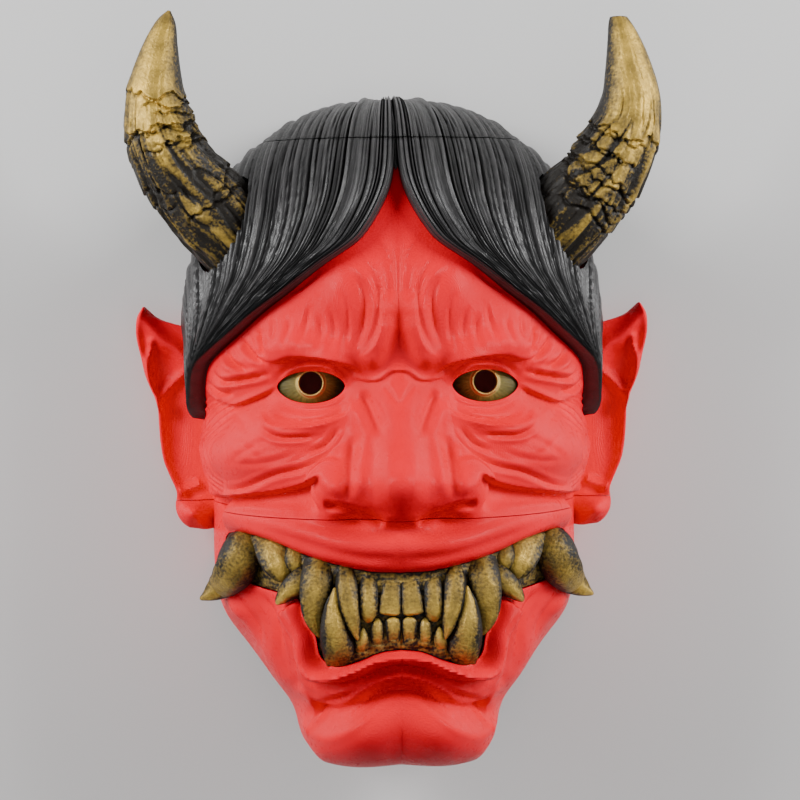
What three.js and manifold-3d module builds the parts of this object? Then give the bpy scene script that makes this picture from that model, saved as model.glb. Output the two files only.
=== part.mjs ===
// A printed demon mask of the hannya kind, about 280 mm long, lying on its rim with the face up.
// Nine prints make it: the face in two halves that meet on a level seam, hair with a separate crown,
// two horns, two eye shells with sight holes, and one set of teeth that sits behind the lips.
// Millimetres. X runs across the face, Y from the chin to the horns, Z out of the face, the rim on Z = 0.
import * as THREE from "three";
import { mergeVertices } from "three/addons/utils/BufferGeometryUtils.js";
import Module from "manifold-3d";

const wasm = await Module();
wasm.setup();

// Driving sizes. Heights on the face are measured from a level 6 mm below the middle of the eyes.
const HEAD_TOP = 111;
const HEAD_WIDEST = 20;
const CHIN_FOOT = -136;
const ABOVE_ALL = 140;
const HALF_WIDTH = 77;
const FACE_DEPTH = 95;
const WALL = 3.5;
const GAP = 0.3;
const CROWN_SEAM = 95.4;
const LIP_SEAM = -43.8;
const SEAM_LEAN = 0.063;
const HORN_TIP = 145.7;
const BROKEN_TIP = 142.3;
const EYE_X = 32;
const EYE_Y = 6.2;
const EYE_FRONT = 82;

// How square the head is: 2 is an ellipse, more is boxier.
const SECTION_BOW = 2.3;
const CROWN_BOW = 3;
const CHIN_BOW = 4;

const RED = new THREE.MeshStandardMaterial({ color: 0xe3211f, roughness: 0.42, metalness: 0 });
const CHARCOAL = new THREE.MeshStandardMaterial({ color: 0x2c2c2e, roughness: 0.6, metalness: 0 });
const OLD_GOLD = new THREE.MeshStandardMaterial({ color: 0x8a6c2a, roughness: 0.5, metalness: 0.45 });

const clamp = (t, low = 0, high = 1) => Math.min(high, Math.max(low, t));
const smooth = (low, high, t) => {
  const s = clamp((t - low) / (high - low));
  return s * s * (3 - 2 * s);
};
const mix = (a, b, t) => a + (b - a) * t;
const radians = THREE.MathUtils.degToRad;

// The head is a loft of level sections. Each is half a superellipse, halfWidth by depth.

// Rounds off an end: 1 at its start, 0 at its tip.
const roundOff = (t, bow) => (1 - clamp(t) ** bow) ** (1 / bow);
const towardsTop = (y) => (y - HEAD_WIDEST) / (HEAD_TOP - HEAD_WIDEST);

const CHEEK_TAPER = 6;
const CHEEK_TAPER_END = -45.5;
const JAW_CORNER = -78;
const JAW_TAPER = 0.76;
const JAW_CORNER_ROUND = 5;
const DEPTH_TAPER = 0.05;
const CHIN_WIDTH_ROUND_START = -118;
const CHIN_DEPTH_ROUND_START = -105;
const CHIN_WIDTH_BOW = 5;

function halfWidth(y) {
  if (y > HEAD_WIDEST) return HALF_WIDTH * roundOff(towardsTop(y), SECTION_BOW);
  const pastCorner = JAW_CORNER_ROUND * Math.log1p(Math.exp((JAW_CORNER - y) / JAW_CORNER_ROUND));
  const width = HALF_WIDTH - CHEEK_TAPER * smooth(HEAD_WIDEST, CHEEK_TAPER_END, y) - JAW_TAPER * pastCorner;
  const end = (CHIN_WIDTH_ROUND_START - y) / (CHIN_WIDTH_ROUND_START - CHIN_FOOT);
  return width * roundOff(end, CHIN_WIDTH_BOW);
}

function depth(y) {
  if (y > HEAD_WIDEST) return FACE_DEPTH * roundOff(towardsTop(y), CROWN_BOW);
  const end = (CHIN_DEPTH_ROUND_START - y) / (CHIN_DEPTH_ROUND_START - CHIN_FOOT);
  return (FACE_DEPTH - DEPTH_TAPER * (HEAD_WIDEST - y)) * roundOff(end, CHIN_BOW);
}

// A point of the head: turn is 0 on the middle of the face and a right angle on the rim.
function headPoint(turn, y) {
  const across = Math.sign(turn) * Math.abs(Math.sin(turn)) ** (2 / SECTION_BOW);
  const out = Math.max(0, Math.cos(turn)) ** (2 / SECTION_BOW);
  return new THREE.Vector3(halfWidth(y) * across, y, depth(y) * out);
}

const PROBE = 0.01;
function headNormal(turn, y) {
  const safeTurn = clamp(turn, PROBE - Math.PI / 2, Math.PI / 2 - PROBE);
  const safeY = clamp(y, CHIN_FOOT + 1, HEAD_TOP - 1);
  const across = headPoint(safeTurn + PROBE, safeY).sub(headPoint(safeTurn - PROBE, safeY));
  const up = headPoint(safeTurn, safeY + PROBE).sub(headPoint(safeTurn, safeY - PROBE));
  return across.cross(up).normalize();
}

const turnAt = (x, y) => Math.sign(x) * Math.asin(clamp(Math.abs(x) / halfWidth(y)) ** (SECTION_BOW / 2));
const heightAt = (x, y) => headPoint(turnAt(x, y), y).z;

// Levels that are evenly spaced along the middle line of the head, from the chin to the crown.
const FINE_LEVELS = 2000;
const END_PACKING = 0.7;
const middleLine = (() => {
  const line = [];
  for (let i = 0; i <= FINE_LEVELS; i++) {
    const lean = -Math.cos((Math.PI * i) / FINE_LEVELS);
    const share = (1 + Math.sign(lean) * Math.abs(lean) ** END_PACKING) / 2;
    line.push({ y: mix(CHIN_FOOT, HEAD_TOP, share), run: 0 });
  }
  for (let i = 1; i <= FINE_LEVELS; i++) {
    const rise = depth(line[i].y) - depth(line[i - 1].y);
    line[i].run = line[i - 1].run + Math.hypot(line[i].y - line[i - 1].y, rise);
  }
  return line;
})();
const MIDDLE_RUN = middleLine[FINE_LEVELS].run;

function lookUp(value, from, to) {
  const i = middleLine.findIndex((p) => p[from] >= value);
  if (i <= 0) return middleLine[i < 0 ? FINE_LEVELS : 0][to];
  const a = middleLine[i - 1];
  const b = middleLine[i];
  return mix(a[to], b[to], (value - a[from]) / (b[from] - a[from]));
}
const levelAt = (share) => lookUp(share * MIDDLE_RUN, "run", "y");
const shareAt = (y) => lookUp(y, "y", "run") / MIDDLE_RUN;

// Relief of the face, as heights above the plain head. x is the distance from the middle line.

// A rounded swelling, or a hollow if rise is negative. spin turns it, in degrees.
function swelling(x, y, { at, size, rise, spin = 0 }) {
  const c = Math.cos(radians(spin));
  const s = Math.sin(radians(spin));
  const dx = x - at[0];
  const dy = y - at[1];
  return rise * Math.exp(-(((c * dx + s * dy) / size[0]) ** 2) - ((c * dy - s * dx) / size[1]) ** 2);
}

// Distance from a line of points, signed: positive on its left.
function besidePath(path, x, y) {
  let best = { distance: Infinity, side: 1, share: 0 };
  for (let i = 0; i + 1 < path.length; i++) {
    const [ax, ay] = path[i];
    const [bx, by] = path[i + 1];
    const dx = bx - ax;
    const dy = by - ay;
    const t = clamp(((x - ax) * dx + (y - ay) * dy) / (dx * dx + dy * dy));
    const distance = Math.hypot(x - ax - t * dx, y - ay - t * dy);
    if (distance >= best.distance) continue;
    const side = Math.sign(dx * (y - ay) - dy * (x - ax)) || 1;
    best = { distance, side, share: (i + t) / (path.length - 1) };
  }
  return best;
}

// A long rounded roll, or a furrow if rise is negative, fading at both ends.
function roll(x, y, { path, width, rise, fade = 0.15 }) {
  const { distance, share } = besidePath(path, x, y);
  const ends = smooth(0, fade, share) * smooth(0, fade, 1 - share);
  return rise * ends * Math.exp(-((distance / width) ** 2));
}

const SOCKET = { at: [32, 5], size: [19, 9], rise: -8 };
const FOREHEAD_GROOVE = { at: [0, 45], size: [4, 28], rise: -2 };
const NOSTRIL = { at: [14, -43], size: [7, 3], rise: -6, spin: -12 };
const EYEBALL = { at: [EYE_X, EYE_Y], size: [15, 8.5], rise: 3.5 };
const BROW_MOUND = { at: [19, 38], size: [17, 21], rise: 5 };
const BROW_END = { at: [42, 25], size: [9, 9], rise: 2.5 };
const TEMPLE_FOLD = { at: [60, 10], size: [9, 8], rise: 5 };
const CHEEK = { at: [54, -20], size: [21, 15], rise: 10 };
const JAW_HOLLOW = { at: [53, -80], size: [8, 13], rise: -4 };
const CHIN_LOBE = { at: [17, -122], size: [13, 9], rise: 8 };
const SWELLINGS = [
  SOCKET, FOREHEAD_GROOVE, NOSTRIL, EYEBALL, BROW_MOUND, BROW_END, TEMPLE_FOLD, CHEEK, JAW_HOLLOW, CHIN_LOBE,
];

// A roll that crosses the middle line starts a little beyond it.
const BEYOND = -8;
const BROW_SHELF = { path: [[13, 10], [24, 15.5], [36, 18.5], [47, 15.5], [54, 17]], width: 6.5, rise: 5.5 };
const FROWN = { path: [[4, 40], [5.5, 26], [9, 17], [16, 10]], width: 3.5, rise: 4 };
const EYE_BAG = { path: [[49, -4], [41, -9], [33, -10], [20, -6]], width: 3.5, rise: 2.2 };
const UPPER_LIP = { path: [[BEYOND, -54], [20, -52], [40, -46], [62, -42]], width: 8, rise: 7, fade: 0.02 };
const LOWER_LIP = {
  path: [[BEYOND, -94], [8, -94], [15, -97.5], [24, -101], [32, -98], [35, -86], [42, -76]],
  width: 4.2,
  rise: 6,
  fade: 0.02,
};
const CHIN_FOLD = {
  path: [[BEYOND, -106], [6, -106], [16, -110.5], [31, -115]],
  width: 4,
  rise: -4.5,
  fade: 0.02,
};
const ROLLS = [BROW_SHELF, FROWN, EYE_BAG, UPPER_LIP, LOWER_LIP, CHIN_FOLD];

// The nose: a long bridge, a broad tip and two wings, all cut off at its base.
const NOSE_BASE = -44;
const NOSE_SWELLINGS = [
  { at: [0, -31], size: [15, 15], rise: 21 },
  { at: [0, -10], size: [10, 17], rise: 8 },
  { at: [22, -31], size: [9, 9.5], rise: 12 },
];

const noseRise = (x, y) =>
  NOSE_SWELLINGS.reduce((sum, s) => sum + swelling(x, y, s), 0) * smooth(NOSE_BASE - 5, NOSE_BASE + 3, y);

// The fold that runs from the nose to the corner of the cheek: the cheek above it drops to the lip below it.
const CHEEK_FOLD = [[27, -27], [34, -31], [46, -34], [58, -36.5], [70, -37]];
const CHEEK_FOLD_DROP = 6;
const CHEEK_FOLD_REACH = 12;

function cheekFold(x, y) {
  const { distance, side } = besidePath(CHEEK_FOLD, x, y);
  const drop = side > 0 ? 0 : Math.exp(-distance / CHEEK_FOLD_REACH) * smooth(0, 3, distance);
  return -CHEEK_FOLD_DROP * drop * smooth(20, 30, x);
}

// The relief dies out towards the rim and under the hair.
const RIM_FADE = [6, 34];
function relief(x, y, z) {
  const side = Math.abs(x);
  let rise = noseRise(side, y) + cheekFold(side, y);
  for (const s of SWELLINGS) rise += swelling(side, y, s);
  for (const r of ROLLS) rise += roll(side, y, r);
  return rise * smooth(...RIM_FADE, z);
}

// The inside follows only the nose and what is sunk into the face, so that the wall is nowhere too thin.
const NOSE_HOLLOW = 0.85;
function insideRelief(x, y, z) {
  const side = Math.abs(x);
  let rise = NOSE_HOLLOW * noseRise(side, y) + roll(side, y, CHIN_FOLD);
  for (const s of [SOCKET, JAW_HOLLOW, NOSTRIL]) rise += swelling(side, y, s);
  return rise * smooth(...RIM_FADE, z);
}

// Solids.

function toSolid(geometry) {
  geometry.deleteAttribute("normal");
  geometry.deleteAttribute("uv");
  const merged = mergeVertices(geometry, 1e-3);
  const triangles = [];
  for (let i = 0; i < merged.index.count; i += 3) {
    const [a, b, c] = [0, 1, 2].map((k) => merged.index.getX(i + k));
    if (a !== b && b !== c && c !== a) triangles.push([a, b, c]);
  }
  const make = (faces) =>
    new wasm.Manifold(
      new wasm.Mesh({
        numProp: 3,
        vertProperties: merged.attributes.position.array,
        triVerts: new Uint32Array(faces.flat()),
      }),
    );
  const made = make(triangles);
  return made.volume() > 0 ? made : make(triangles.map(([a, b, c]) => [a, c, b]));
}

function toMesh(name, solid, material) {
  const { vertProperties, triVerts } = solid.getMesh();
  const geometry = new THREE.BufferGeometry();
  geometry.setAttribute("position", new THREE.BufferAttribute(new Float32Array(vertProperties), 3));
  geometry.setIndex(new THREE.BufferAttribute(new Uint32Array(triVerts), 1));
  geometry.computeVertexNormals();
  const mesh = new THREE.Mesh(geometry, material);
  mesh.name = name;
  return mesh;
}

// A closed solid through a row of closed loops, which all have the same number of points.
function loft(loops) {
  const count = loops[0].length;
  const points = loops.flat();
  const faces = [];
  for (let i = 0; i + 1 < loops.length; i++) {
    for (let j = 0; j < count; j++) {
      const a = i * count + j;
      const b = i * count + ((j + 1) % count);
      faces.push(a, b, b + count, a, b + count, a + count);
    }
  }
  for (const [row, flip] of [[0, true], [loops.length - 1, false]]) {
    const middle = loops[row].reduce((sum, p) => sum.add(p), new THREE.Vector3()).divideScalar(count);
    points.push(middle);
    for (let j = 0; j < count; j++) {
      const a = row * count + j;
      const b = row * count + ((j + 1) % count);
      faces.push(points.length - 1, flip ? b : a, flip ? a : b);
    }
  }
  const geometry = new THREE.BufferGeometry().setFromPoints(points);
  geometry.setIndex(faces);
  return toSolid(geometry);
}

// The head as a solid that stands off the plain head by rise(x, y, z), with a skirt below the rim.
// Its levels are closer together on the face than on the crown, which the hair hides.
const SKIRT = 20;
const FACE_LEVELS = 0.88;
const HIDDEN_FROM = 55;
function headSolid(columns, rows, rise) {
  const loops = [];
  for (let i = 0; i <= rows; i++) {
    const onFace = Math.min(1, i / rows / FACE_LEVELS);
    const onCrown = Math.max(0, (i / rows - FACE_LEVELS) / (1 - FACE_LEVELS));
    const y = levelAt(mix(onFace * shareAt(HIDDEN_FROM), 1, onCrown));
    const loop = [];
    for (let j = 0; j <= columns; j++) {
      const turn = mix(-Math.PI / 2, Math.PI / 2, j / columns);
      const p = headPoint(turn, y);
      loop.push(p.addScaledVector(headNormal(turn, y), rise(p.x, p.y, p.z)));
    }
    const [left, right] = [loop[0], loop[columns]];
    loop.push(new THREE.Vector3(right.x, right.y, -SKIRT), new THREE.Vector3(left.x, left.y, -SKIRT));
    loops.push(loop);
  }
  return loft(loops);
}

function prism(outline, low, high) {
  const shape = new THREE.Shape(outline.map(([x, y]) => new THREE.Vector2(x, y)));
  const geometry = new THREE.ExtrudeGeometry(shape, { depth: high - low, bevelEnabled: false });
  return toSolid(geometry.translate(0, 0, low));
}

const mirrored = (outline) => outline.map(([x, y]) => [-x, y]).reverse();
const above = (solid, z) => solid.trimByPlane([0, 0, 1], z);
const southOf = (solid, y) => solid.trimByPlane([0, -1, 0], -y);
const largestBody = (solid) => solid.decompose().reduce((a, b) => (a.volume() > b.volume() ? a : b));

const FACE_COLUMNS = 28;
const FACE_ROWS = 32;
const INSIDE_COLUMNS = 16;
const INSIDE_ROWS = 18;
const plainHead = headSolid(FACE_COLUMNS, FACE_ROWS, (x, y, z) => relief(x, y, z));
const swollenHead = headSolid(FACE_COLUMNS, FACE_ROWS, (x, y, z) => relief(x, y, z) + GAP);
const inside = headSolid(INSIDE_COLUMNS, INSIDE_ROWS, (x, y, z) => insideRelief(x, y, z) - WALL);

// Ears: a leaf that faces forward, with a raised outer edge round a hollow, and a round lobe.
// Each edge is given as [height on the face, distance from the middle line].
const EAR_OUTER = [
  [-50.5, 77], [-49, 82.5], [-44.5, 85.3], [-40, 84.5], [-30, 88], [-14, 91], [0, 93], [11, 98], [27, 100.5],
  [38, 96.8],
];
const EAR_INNER = [
  [-50.5, 75], [-46, 68], [-30, 68], [0, 71], [20, 72], [27.5, 76], [31, 87], [34, 93.5], [38, 96.2],
];
const EAR_FOOT = EAR_OUTER[0][0];
const EAR_TIP = EAR_OUTER.at(-1)[0];
const EAR_ROWS = 13;
const EAR_COLUMNS = 5;
const EAR_HOLLOW = 12.5;
const EAR_EDGE_RISE = 6.5;
const EAR_EDGE_THICKNESS = 4.5;
const EAR_ROOT_THICKNESS = 6;
// Where the raised edge runs, as shares of the ear's width and of its height.
const EAR_EDGE_WIDTH = 0.25;
const EAR_TIP_EDGE = [0.75, 1];
const EAR_LOBE_EDGE = [0.05, 0.2];
const EAR_ROOT_WIDTH = [0.1, 0.9];
const EAR_ROOT_FOOT = 0.15;
const EAR_ROOT_HEAD = 0.35;

function along(stations, at) {
  const i = clamp(stations.findIndex(([place]) => place >= at), 1, stations.length - 1);
  const [a, b] = [stations[i - 1], stations[i]];
  return mix(a[1], b[1], clamp((at - a[0]) / (b[0] - a[0])));
}

function ear() {
  const loops = [];
  for (let i = 0; i <= EAR_ROWS; i++) {
    const climb = i / EAR_ROWS;
    const y = mix(EAR_FOOT, EAR_TIP, climb);
    const [inner, outer] = [along(EAR_INNER, y), along(EAR_OUTER, y)];
    const front = [];
    const back = [];
    for (let j = 0; j <= EAR_COLUMNS; j++) {
      const share = j / EAR_COLUMNS;
      const x = mix(inner, outer, share);
      const helix = Math.exp(-(((1 - share) / EAR_EDGE_WIDTH) ** 2));
      const edge = Math.max(helix, smooth(...EAR_TIP_EDGE, climb), 1 - smooth(...EAR_LOBE_EDGE, climb));
      const frontZ = EAR_HOLLOW + EAR_EDGE_RISE * edge;
      const ends = smooth(0, EAR_ROOT_FOOT, climb) * smooth(0, EAR_ROOT_HEAD, 1 - climb);
      const root = (1 - smooth(...EAR_ROOT_WIDTH, share)) * ends;
      front.push(new THREE.Vector3(x, y, frontZ));
      back.unshift(new THREE.Vector3(x, y, frontZ - EAR_EDGE_THICKNESS - EAR_ROOT_THICKNESS * root));
    }
    loops.push([...front, ...back]);
  }
  return loft(loops);
}

// The mouth is cut through the lips along this line, given from its middle to its corner and back.
const UPPER_LIP_EDGE = [
  [0, -63], [11, -62.4], [24.4, -59.6], [35.4, -56.2], [44, -52.6], [52.5, -50], [60.5, -49], [64.5, -51],
];
const LOWER_LIP_EDGE = [
  [65, -56], [60, -66], [50.5, -70], [38, -73], [35.5, -79], [31.5, -86], [30, -93], [27, -96.5],
  [22.5, -97.5], [15, -95], [7.5, -91.2], [0, -89.8],
];
const MOUTH = [...UPPER_LIP_EDGE, ...LOWER_LIP_EDGE];
const wholeOutline = (half) => [...half, ...mirrored(half).filter(([x]) => Math.abs(x) > 1e-6)];

// Moves a mouth outline outwards, each point along the mean normal of its two edges.
function grown(outline, by) {
  return outline.map((p, i) => {
    const before = outline[(i + outline.length - 1) % outline.length];
    const after = outline[(i + 1) % outline.length];
    const run = new THREE.Vector2(after[0] - before[0], after[1] - before[1]).normalize();
    return [p[0] - run.y * by, p[1] + run.x * by];
  });
}

const MOUTH_FLOOR = 25;
const mouthOutline = wholeOutline(MOUTH);
const mouthCutter = prism(mouthOutline, MOUTH_FLOOR, ABOVE_ALL);

// Eyes: domed shells behind almond openings, each with a round sight hole and a raised ring around it.
const EYE_RADIUS = 17;
const EYE_SHELL = 2.6;
const EYE_FLOOR = 55;
const EYE_REACH = 14.2;
const SIGHT_HOLE = 4.25;
const RING_WIDTH = 1;
const RING_RISE = 0.5;
const LID_HALF = 12.4;
const UPPER_LID = 5.6;
const LOWER_LID = 6.2;
const LID_DROP = 1.2;
const LID_POINT = 1.15;
const LID_STEPS = 8;

function almond() {
  const outline = [];
  for (let i = 0; i < 2 * LID_STEPS; i++) {
    const turn = (Math.PI * i) / LID_STEPS;
    const rise = Math.sin(turn);
    const lid = rise > 0 ? UPPER_LID : LOWER_LID;
    const y = EYE_Y - LID_DROP + lid * Math.sign(rise) * Math.abs(rise) ** LID_POINT;
    outline.push([EYE_X + LID_HALF * Math.cos(turn), y]);
  }
  return outline;
}

const EYE_SIDES = 14;
const EYE_STEPS = 3;

// Turns a closed outline of [distance from the axis, height] points about the eye's axis.
function turned(outline) {
  const points = [...outline, outline[0]].map(([out, z]) => new THREE.Vector2(out, z)).reverse();
  const upright = new THREE.LatheGeometry(points, EYE_SIDES).rotateX(Math.PI / 2);
  return toSolid(upright.translate(EYE_X, EYE_Y, 0));
}

const domeHeight = (radius, out) => Math.sqrt(radius ** 2 - out ** 2) + EYE_FRONT - EYE_RADIUS;
function dome(radius, from, to) {
  const points = [];
  for (let i = 0; i <= EYE_STEPS; i++) {
    const out = mix(from, to, i / EYE_STEPS);
    points.push([out, domeHeight(radius, out)]);
  }
  return points;
}

const RING_EDGE = SIGHT_HOLE + RING_WIDTH;
const eye = turned([
  [SIGHT_HOLE, domeHeight(EYE_RADIUS, SIGHT_HOLE) + RING_RISE],
  [RING_EDGE, domeHeight(EYE_RADIUS, RING_EDGE) + RING_RISE],
  ...dome(EYE_RADIUS, RING_EDGE, EYE_REACH),
  ...dome(EYE_RADIUS - EYE_SHELL, SIGHT_HOLE, EYE_REACH).reverse(),
]);

// The room that the face leaves for it.
const EYE_ROOM = 2 * GAP;
const ROOM_AXIS = 0.001;
const ROOM_REACH = EYE_REACH + EYE_ROOM;
const ROOM_BACK = EYE_RADIUS - EYE_SHELL - EYE_ROOM;
const eyeRoom = turned([
  ...dome(EYE_RADIUS + EYE_ROOM, ROOM_AXIS, ROOM_REACH),
  [ROOM_REACH, EYE_FRONT - EYE_RADIUS],
  ...dome(ROOM_BACK, ROOM_AXIS, ROOM_BACK - EYE_ROOM).reverse(),
]);

// The face: head and ears, hollowed, with the eye openings and the mouth cut out, and the throat cut away.
const THROAT_START = -58;
const THROAT_SLOPE = 0.55;
const THROAT_WIDTH = 300;
const THROAT_DEEP = -30;
const THROAT_FAR = CHIN_FOOT - 20;
const throat = (() => {
  const rise = THROAT_SLOPE * (THROAT_START - THROAT_FAR);
  const outline = [
    [THROAT_START, 0], [THROAT_START, THROAT_DEEP], [THROAT_FAR, THROAT_DEEP], [THROAT_FAR, rise],
  ];
  const shape = new THREE.Shape(outline.map(([y, z]) => new THREE.Vector2(y, z)));
  const geometry = new THREE.ExtrudeGeometry(shape, { depth: THROAT_WIDTH, bevelEnabled: false });
  geometry.applyMatrix4(new THREE.Matrix4().makeBasis(
    new THREE.Vector3(0, 1, 0), new THREE.Vector3(0, 0, 1), new THREE.Vector3(1, 0, 0)));
  return toSolid(geometry.translate(-THROAT_WIDTH / 2, 0, 0));
})();

const flip = (solid) => solid.mirror([1, 0, 0]);
const pair = (solid) => solid.add(flip(solid));

const face = above(
  plainHead
    .add(pair(ear()))
    .subtract(inside)
    .subtract(mouthCutter)
    .subtract(pair(prism(almond(), EYE_FLOOR, ABOVE_ALL)))
    .subtract(pair(eyeRoom))
    .subtract(throat),
  0,
);

// The prints meet on planes that lean a little. at is a seam's level at the front of the plain head, and
// side is 1 to keep what is above the seam or -1 to keep what is below it.
function seamCut(solid, at, side) {
  const level = (at + (side * GAP) / 2 + SEAM_LEAN * FACE_DEPTH) / Math.hypot(1, SEAM_LEAN);
  return solid.trimByPlane([0, side, side * SEAM_LEAN], side * level);
}

const faceUpper = largestBody(seamCut(seamCut(face, CROWN_SEAM, -1), LIP_SEAM, 1));
const faceLower = largestBody(seamCut(face, LIP_SEAM, -1));

// Hair: each half is a leaf of locks that leaves the rim all along the side of the head and gathers in
// one point in front of the ear. It is laid out on a disc, with the rim on the circle of radius 1.
function toDisc(turn, y) {
  const rise = Math.PI * (shareAt(y) - 0.5);
  const [x, up, out] = [Math.cos(rise) * Math.sin(turn), Math.sin(rise), Math.cos(rise) * Math.cos(turn)];
  const reach = Math.acos(clamp(out)) / (Math.PI / 2);
  const flat = Math.hypot(x, up) || 1;
  return new THREE.Vector2((reach * x) / flat, (reach * up) / flat);
}

function fromDisc(place) {
  const reach = Math.min(1, place.length());
  const angle = (reach * Math.PI) / 2;
  const flat = place.clone().normalize();
  const up = Math.sin(angle) * flat.y;
  const y = levelAt(Math.asin(clamp(up, -1, 1)) / Math.PI + 0.5);
  return { turn: Math.atan2(Math.sin(angle) * flat.x, Math.cos(angle)), y };
}

const PARTING = 0.4;
const HAIRLINE = [
  [PARTING, 104], [PARTING, 92], [0.9, 83], [2.4, 76.5], [5.1, 70], [9.2, 62.7], [14.5, 56], [25.4, 48.2],
  [38.2, 39.1], [53, 28.3], [63.3, 19.5], [69.3, 13], [71.3, 5.1], [72.4, -1], [73.6, -5.8],
];
// Behind the lock in front of the ear: [y, height above the rim].
const HAIR_BACK = [[35, 0], [32, 12], [25, 20], [10, 26], [-1, 27], [-6.2, 28]];

const CROWN_START = new THREE.Vector2(0.004, 1);
const hairlineDisc = [CROWN_START, ...HAIRLINE.map(([x, y]) => toDisc(turnAt(x, y), y))];
const backDisc = HAIR_BACK.map(([y, z]) => toDisc(Math.acos(clamp(z / depth(y)) ** (SECTION_BOW / 2)), y));
const lineOf = (points) => new THREE.SplineCurve(points);
const frontLine = lineOf(hairlineDisc);
const backLine = lineOf(backDisc);
const rimStart = Math.PI / 2;
const rimEnd = backDisc[0].angle();
const rimPlace = (share) => {
  const angle = mix(rimStart, rimEnd, share);
  return new THREE.Vector2(Math.cos(angle), Math.sin(angle));
};

// A place on the hair: strand 0 is the hairline and 1 the back edge, run goes from the rim to the point.
const RIM_PULL = 0.16;
function hairPlace(strand, run) {
  const front = frontLine.getPointAt(run);
  const back = backLine.getPointAt(run);
  const start = rimPlace(strand);
  const tip = frontLine.getPointAt(1).lerp(backLine.getPointAt(1), strand);
  const edges = front.multiplyScalar(1 - strand).addScaledVector(back, strand);
  const ends = start.clone().multiplyScalar(1 - run).addScaledVector(tip, run);
  const corners = rimPlace(0).lerp(rimPlace(1), strand).lerp(tip, run);
  const pull = RIM_PULL * Math.sin(Math.PI * strand) * run * (1 - run) ** 2 * 4;
  return edges.add(ends).sub(corners).addScaledVector(start, -pull);
}

const HAIR_RISE = 6;
const HAIR_EDGE_RISE = 4.6;
const LOCKS = 6;
const LOCK_RISE = 0.9;
const HAIR_BEVEL = 0.06;
const HAIR_ROOT = 2;
const HAIR_STRANDS = 18;
const INNER_SKIP = 6;
const HAIR_RUNS = 8;
const HAIR_SKIRT = 5;

function hairHalf() {
  const loops = [];
  for (let i = 0; i <= HAIR_RUNS; i++) {
    const run = i / HAIR_RUNS;
    const outer = [];
    const inner = [];
    for (let j = 0; j <= HAIR_STRANDS; j++) {
      const strand = j / HAIR_STRANDS;
      const { turn, y } = fromDisc(hairPlace(strand, run));
      const p = headPoint(turn, y);
      const n = headNormal(turn, y);
      const edge = smooth(0, HAIR_BEVEL, Math.min(strand, 1 - strand));
      const lock = LOCK_RISE * (Math.abs(Math.cos(Math.PI * LOCKS * strand)) - 0.5) * edge;
      const rise = mix(HAIR_EDGE_RISE, HAIR_RISE, edge) + lock + Math.max(0, relief(p.x, p.y, p.z));
      outer.push(p.clone().addScaledVector(n, rise));
      if (j % INNER_SKIP === 0) inner.unshift(p.clone().addScaledVector(n, -HAIR_ROOT));
    }
    loops.push([...outer, ...inner]);
  }
  const skirt = loops[0].map((p) => new THREE.Vector3(p.x, p.y, -HAIR_SKIRT));
  return loft([skirt, ...loops]);
}

// A closed solid of round sections along a curve, whose radius is given by radiusAt(share, turn).
function sweep(curve, steps, sides, radiusAt) {
  const loops = [];
  for (let i = 0; i <= steps; i++) {
    const share = i / steps;
    const centre = curve.getPoint(share);
    const ahead = curve.getTangent(share);
    const side = new THREE.Vector3(0, 0, 1).cross(ahead).normalize();
    const out = ahead.clone().cross(side);
    const loop = [];
    for (let j = 0; j < sides; j++) {
      const turn = (2 * Math.PI * j) / sides;
      const radius = radiusAt(share, turn);
      const across = side.clone().multiplyScalar(radius * Math.cos(turn));
      loop.push(across.addScaledVector(out, radius * Math.sin(turn)).add(centre));
    }
    loops.push(loop);
  }
  return loft(loops);
}

// Horns: swept along a bent line, fluted lengthwise. The one on the right has lost its tip.
const HORN_LINE = [
  [48, 51, 42],
  [62.8, 65.8, 52],
  [79, 84, 58],
  [86.3, 97.5, 61],
  [88.9, 110.5, 63],
  [88.2, 121.5, 64],
  [86.6, 132, 64],
  [84.5, 141, 63.2],
  [83.4, HORN_TIP, 62.5],
];
const HORN_RADII = [16.6, 17.2, 15.3, 13.6, 11.4, 9.2, 6.6, 3.7, 0.6];
const HORN_SIDES = 14;
const HORN_STEPS = 11;
const HORN_FLUTES = 7;
const HORN_FLUTE_DEPTH = 0.07;
const SMOOTH_TIP = [0.6, 0.9];

function horn(extra) {
  const line = new THREE.CatmullRomCurve3(HORN_LINE.map((p) => new THREE.Vector3(...p)));
  const radii = HORN_RADII.map((r, i) => [i / (HORN_RADII.length - 1), r]);
  return sweep(line, HORN_STEPS, HORN_SIDES, (share, turn) => {
    const fluting = HORN_FLUTE_DEPTH * (1 - smooth(...SMOOTH_TIP, share));
    return along(radii, share) * (1 + fluting * Math.cos(HORN_FLUTES * turn)) + extra;
  });
}

const HORN_ROOM = 1;
const wholeHorn = horn(0).subtract(swollenHead);
const hornLeft = largestBody(flip(wholeHorn));
const hornRight = largestBody(southOf(wholeHorn, BROKEN_TIP));

// A thin strip under the parting joins the two halves of the hair.
const PARTING_STRIP = [[-4, 80], [4, 80], [4, HEAD_TOP + 1], [-4, HEAD_TOP + 1]];
const PARTING_RISE = 2.2;
const partingStrip = headSolid(FACE_COLUMNS, FACE_ROWS, (x, y, z) => relief(x, y, z) + PARTING_RISE)
  .intersect(prism(PARTING_STRIP, 0, ABOVE_ALL));

const hair = above(pair(hairHalf()).add(partingStrip).subtract(pair(horn(HORN_ROOM))), 0);
const hairFront = largestBody(seamCut(hair.subtract(swollenHead), CROWN_SEAM, -1));
const hairCrown = largestBody(seamCut(above(hair.add(plainHead), 0).subtract(inside), CROWN_SEAM, 1));

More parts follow.
